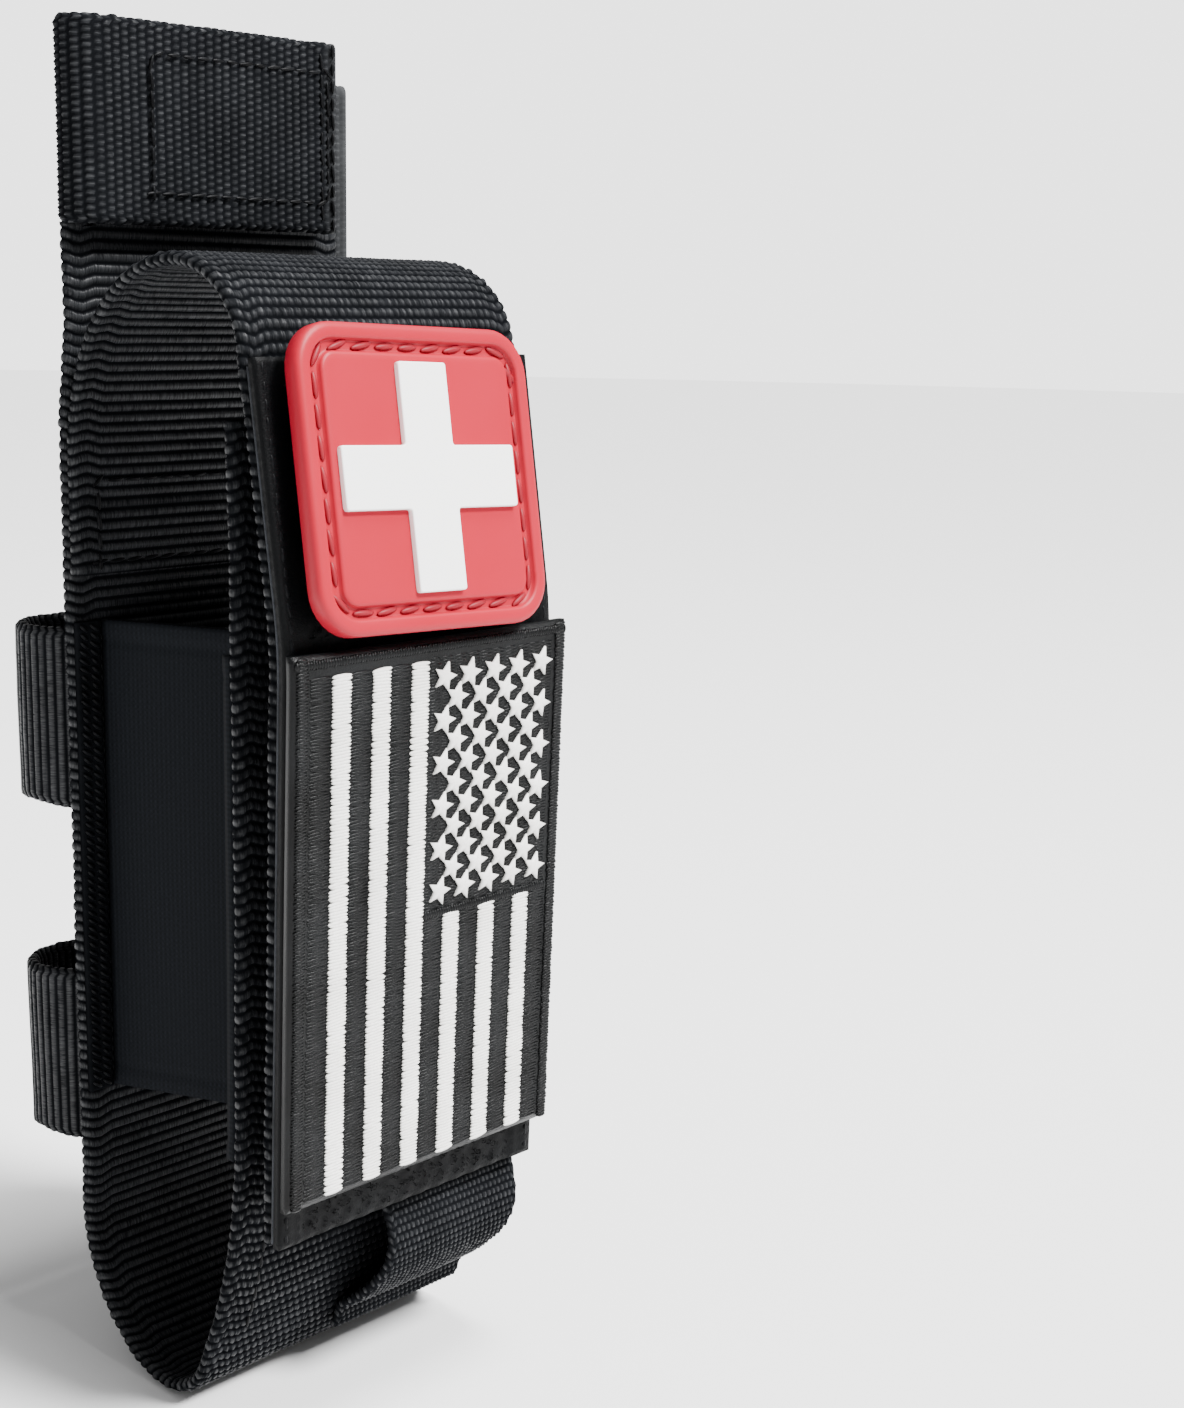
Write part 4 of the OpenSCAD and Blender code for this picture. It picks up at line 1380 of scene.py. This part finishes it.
def roundedSquare(side, corner, count=8):
    points, half = [], side / 2 - corner
    for k, (sx, sy) in enumerate(((1, 1), (-1, 1), (-1, -1), (1, -1))):
        for i in range(count + 1):
            a = math.radians(90 * (k + i / count))
            points.append((sx * half + corner * math.cos(a),
                           sy * half + corner * math.sin(a)))
    return points


def loft(name, profile, side, corner, matrix, slotName, body, nodes):
    # profile is a list of (inset, height); the first and last outlines are closed
    points, ring = [], 0
    for inset, high in profile:
        outline = roundedSquare(side - 2 * inset, max(corner - inset, 0.7))
        ring = len(outline)
        points += [tuple(matrix @ Vector((x, y, high))) for x, y in outline]
    faces = ringFaces(len(profile), ring)
    caps = [len(faces), len(faces) + 1]
    faces += [list(range(ring)), [len(points) - ring + k for k in range(ring)]]
    return makePiece(name, points, faces, slotName, body, nodes, None, caps)


def crossFrame(out):
    matrix = crossMatrix(out)
    return lambda x, z, more: np.array(matrix @ Vector((float(x), float(z), float(more))))


def makeCrossPatch():
    thick, rim, groove = cross["thick"], cross["rim"], cross["groove"]
    backOut = holder["hook"] + holder["sewn"]
    deep = thick - cross["grooveDeep"]
    inner = rim + groove
    profile = [(1.2, 0), (0.3, 0), (0, 0.3), (0, thick - 1.0), (0.08, thick - 0.55),
               (0.3, thick - 0.22), (0.65, thick - 0.04), (1.0, thick),
               (rim - 0.45, thick), (rim - 0.15, thick - 0.1), (rim, thick - 0.35),
               (rim + 0.12, deep + 0.08), (rim + 0.35, deep), (inner - 0.35, deep),
               (inner - 0.12, deep + 0.08), (inner, thick - 0.38),
               (inner + 0.15, thick - 0.14), (inner + 0.5, thick - 0.06),
               (inner + 1.2, thick - 0.05), (inner + 5, thick - 0.05)]
    loft("crossPatch", profile, cross["side"], cross["corner"], crossMatrix(backOut),
         "red_pvc", "cross_patch", ["cross_patch_base"])
    # Dashes moulded in the groove to look like stitches, in a darker red that is painted
    # shade of the groove
    dashes = crossFrame(backOut)
    line = roundedSquare(cross["side"] - 2 * rim - groove,
                         cross["corner"] - rim - groove / 2, 6)
    run = [onFrame(dashes, x, y, deep + 0.12) for x, y in line + line[:1]]
    stitch("crossMouldedStitches", [run], "cross_patch",
           ["cross_patch_moulded_stitches"], "dark_red_pvc", pitch=4.1, length=3.7,
           radius=0.5, flatness=0.8, turn=7, uneven=0.05)
    arm, wide = cross["arm"] / 2, cross["armWide"] / 2
    corners = [(wide, wide), (wide, arm), (-wide, arm), (-wide, wide), (-arm, wide),
               (-arm, -wide), (-wide, -wide), (-wide, -arm), (wide, -arm), (wide, -wide),
               (arm, -wide), (arm, wide)]
    form = bmesh.new()
    base = form.faces.new([form.verts.new((x, y, -0.15)) for x, y in corners])
    upright = bmesh.ops.extrude_face_region(form, geom=[base])
    raised = [v for v in upright["geom"] if isinstance(v, bmesh.types.BMVert)]
    bmesh.ops.translate(form, verts=raised, vec=(0, 0, cross["raised"] + 0.15))
    sides = [e for e in form.edges if abs(e.verts[0].co.z - e.verts[1].co.z) > 0.1]
    bmesh.ops.bevel(form, geom=sides, offset=0.45, segments=3, profile=0.5,
                    affect="EDGES")
    rimEdges = [e for e in form.edges if min(v.co.z for v in e.verts) > 0.5]
    bmesh.ops.bevel(form, geom=rimEdges, offset=0.22, segments=3, profile=0.5,
                    affect="EDGES")
    bmesh.ops.recalc_face_normals(form, faces=form.faces)
    form.transform(crossMatrix(backOut + thick + holder["sewn"]))
    mesh = meshOf("crossEmblem", form)
    mesh.polygons.foreach_set("use_smooth", [p.area < 4e-6 for p in mesh.polygons])
    register("crossEmblem", mesh, "white_pvc", "cross_patch", ["cross_patch_emblem"])
    hookSide, corner, base = cross["side"] - 2, cross["corner"] - 1, tapes["hookBase"]
    high = holder["hook"]
    loft("crossHookBase", [(4, high - base), (0.2, high - base), (0, high - base + 0.15),
                           (0, high - 0.1), (0.2, high), (4, high)],
         hookSide, corner, crossMatrix(0), "hook_tape", "cross_patch",
         ["cross_patch_hook"])
    rear = backwards(crossFrame(0), high)
    reach = hookSide / 2 - 1.2
    square = reach + 1.2 - corner
    spots = [onFrame(rear, x, z, base - 0.02)
             for x, z in grid(-reach, reach, -reach, reach, tapes["hookPitch"])
             if math.hypot(max(abs(x) - square, 0), max(abs(z) - square, 0)) < corner - 1.2]
    studs("crossHooks", hookShape(high - base), spots, math.pi, 0.06, "hook_tape",
          "cross_patch", ["cross_patch_hook"])


makeCrossPatch()

print("Flag patch")

flag = {
    "wide": 51.5,
    "high": 78.5,
    "lowZ": 40.2,
    "x": -0.7,
    "thick": 1.5,
    "hems": (2.8, 2.7, 2.4, 0.6),
    "stripes": 13,
    "cantonStripes": 7,
    "cantonShare": 0.49,
    "whiteShare": 0.96,
    "starRows": 11,
    "rowStars": 5,
    "starR": 2.0,
    "starInset": 2.75,
    "threadPitch": 0.46,
    "threadR": 0.36,
    "cantonBars": 10,
    "barPitch": 2.45,
    "barWide": 2.75,
}


def makeFlag():
    left, right, up, down = flag["hems"]
    groundOut = patchOut + holder["hook"] + holder["sewn"]
    faceOut = groundOut + flag["thick"]
    xa, xb = flag["x"] - flag["wide"] / 2, flag["x"] + flag["wide"] / 2
    za, zb = flag["lowZ"], flag["lowZ"] + flag["high"]
    x0, x1, z0, z1 = xa + left, xb - right, za + down, zb - up
    stripe = (x1 - x0) / flag["stripes"]
    cantonX = x1 - flag["cantonStripes"] * stripe
    cantonZ = z1 - flag["cantonShare"] * (z1 - z0)

    def twill(x, z):
        edge = np.minimum(np.minimum(x - xa, xb - x), np.minimum(z - za, zb - z))
        return -0.45 * (1 - np.clip(edge / 0.5, 0, 1)) + 0.03 * np.sin(
            4 * (x + z))

    cloth = slab("flagCloth", steps(xa, xb, 0.8), steps(za, zb, 0.9), groundOut, faceOut,
                 hungFrame, "black_embroidery", "flag_patch",
                 ["flag_ground", "flag_border"], ripple=twill)

    def satin(name, columns, width, out, slotName, nodes, seed, uneven,
              radius=flag["threadR"]):
        runs = [runOn(hungFrame, [(x, low), (x, high)], out, 1.0)
                for x, low, high in columns]
        return stitch(name, runs, "flag_patch", nodes, slotName,
                      pitch=flag["threadPitch"], length=width, radius=radius,
                      flatness=1.0, turn=90, uneven=uneven, seed=seed)

    black, white = [], []
    for k in range(flag["stripes"]):
        short = k >= flag["stripes"] - flag["cantonStripes"]
        x = x0 + (k + 0.5) * stripe
        ends = (x, z0 + 0.6, (cantonZ - 1.2) if short else (z1 - 0.6))
        (white if k % 2 else black).append(ends)
    satin("flagWhiteStripes", white, stripe * flag["whiteShare"] * 1.04, faceOut + 0.14,
          "white_embroidery", ["flag_stripes"], 41, 0.06)
    satin("flagBlackStripes", black, stripe * 1.12, faceOut - 0.08, "black_embroidery",
          ["flag_ground"], 42, 0.1)
    hem = [(xa + left / 2 + 0.1, za + 0.5, zb - 0.5),
           (xb - right / 2 - 0.1, za + 0.5, zb - 0.5)]
    satin("flagHem", hem, 2.1, faceOut + 0.05, "black_embroidery", ["flag_border"], 43,
          0.1, radius=0.38)
    canton = [(cantonX + (i + 0.5) * flag["barPitch"], cantonZ, z1 - 0.3)
              for i in range(flag["cantonBars"])]
    satin("flagCanton", canton, flag["barWide"], faceOut - 0.16, "black_embroidery",
          ["flag_canton"], 44, 0.1)
    ridge = [runOn(hungFrame, [(cantonX + 0.3, cantonZ - 0.5), (x1 - 0.3, cantonZ - 0.5)],
                   faceOut + 0.12, 1.0),
             runOn(hungFrame, [(xa + 0.6, zb - up / 2), (xb - 0.6, zb - up / 2)],
                   faceOut + 0.02, 1.0)]
    stitch("flagRidges", ridge, "flag_patch", ["flag_border"], "black_embroidery",
           pitch=flag["threadPitch"], length=1.3, radius=flag["threadR"], flatness=1.0,
           turn=90, uneven=0.12, seed=45)

    # A star of satin stitch: five arms, crowned along their middles
    form = bmesh.new()
    r, rise = flag["starR"], 0.42
    centre = form.verts.new((0, 0, rise))
    rim, low = [], []
    for i in range(10):
        a = math.radians(36 * i)
        reach = r * (1.12 if i % 2 == 0 else 0.5)
        rim.append(form.verts.new((reach * math.cos(a), reach * math.sin(a), 0.2)))
        low.append(form.verts.new((reach * math.cos(a), reach * math.sin(a), -0.15)))
    mid = [form.verts.new((0.55 * v.co.x, 0.55 * v.co.y, rise * (0.9 if i % 2 == 0
                                                                else 0.75)))
           for i, v in enumerate(rim)]
    for i in range(10):
        k = (i + 1) % 10
        form.faces.new((centre, mid[i], mid[k]))
        form.faces.new((mid[i], rim[i], rim[k], mid[k]))
        form.faces.new((rim[i], low[i], low[k], rim[k]))
    form.faces.new(low[::-1])
    form.transform(Matrix.Scale(mm, 4))
    starMesh = meshOf("star", form)
    rows, inset = flag["starRows"], flag["starInset"]
    step = (x1 - cantonX - 2 * inset) / (flag["rowStars"] - 1)
    spots = []
    for row in range(rows):
        z = z1 - inset + (cantonZ + inset - z1 + inset) * row / (rows - 1)
        for i in range(flag["rowStars"] - row % 2):
            x = cantonX + inset + (i + (row % 2) / 2) * step
            spots.append(onFrame(hungFrame, x, z, faceOut + 0.2))
    studs("flagStars", starMesh, spots, 0.07, 0.04, "white_embroidery", "flag_patch",
          ["flag_stars"])
    hookTape("flagHook", backwards(hungFrame, patchOut + holder["hook"]), xa + 1, xb - 1,
             za + 1, zb - 1, 0.0, "flag_patch", "flag_hook")


makeFlag()
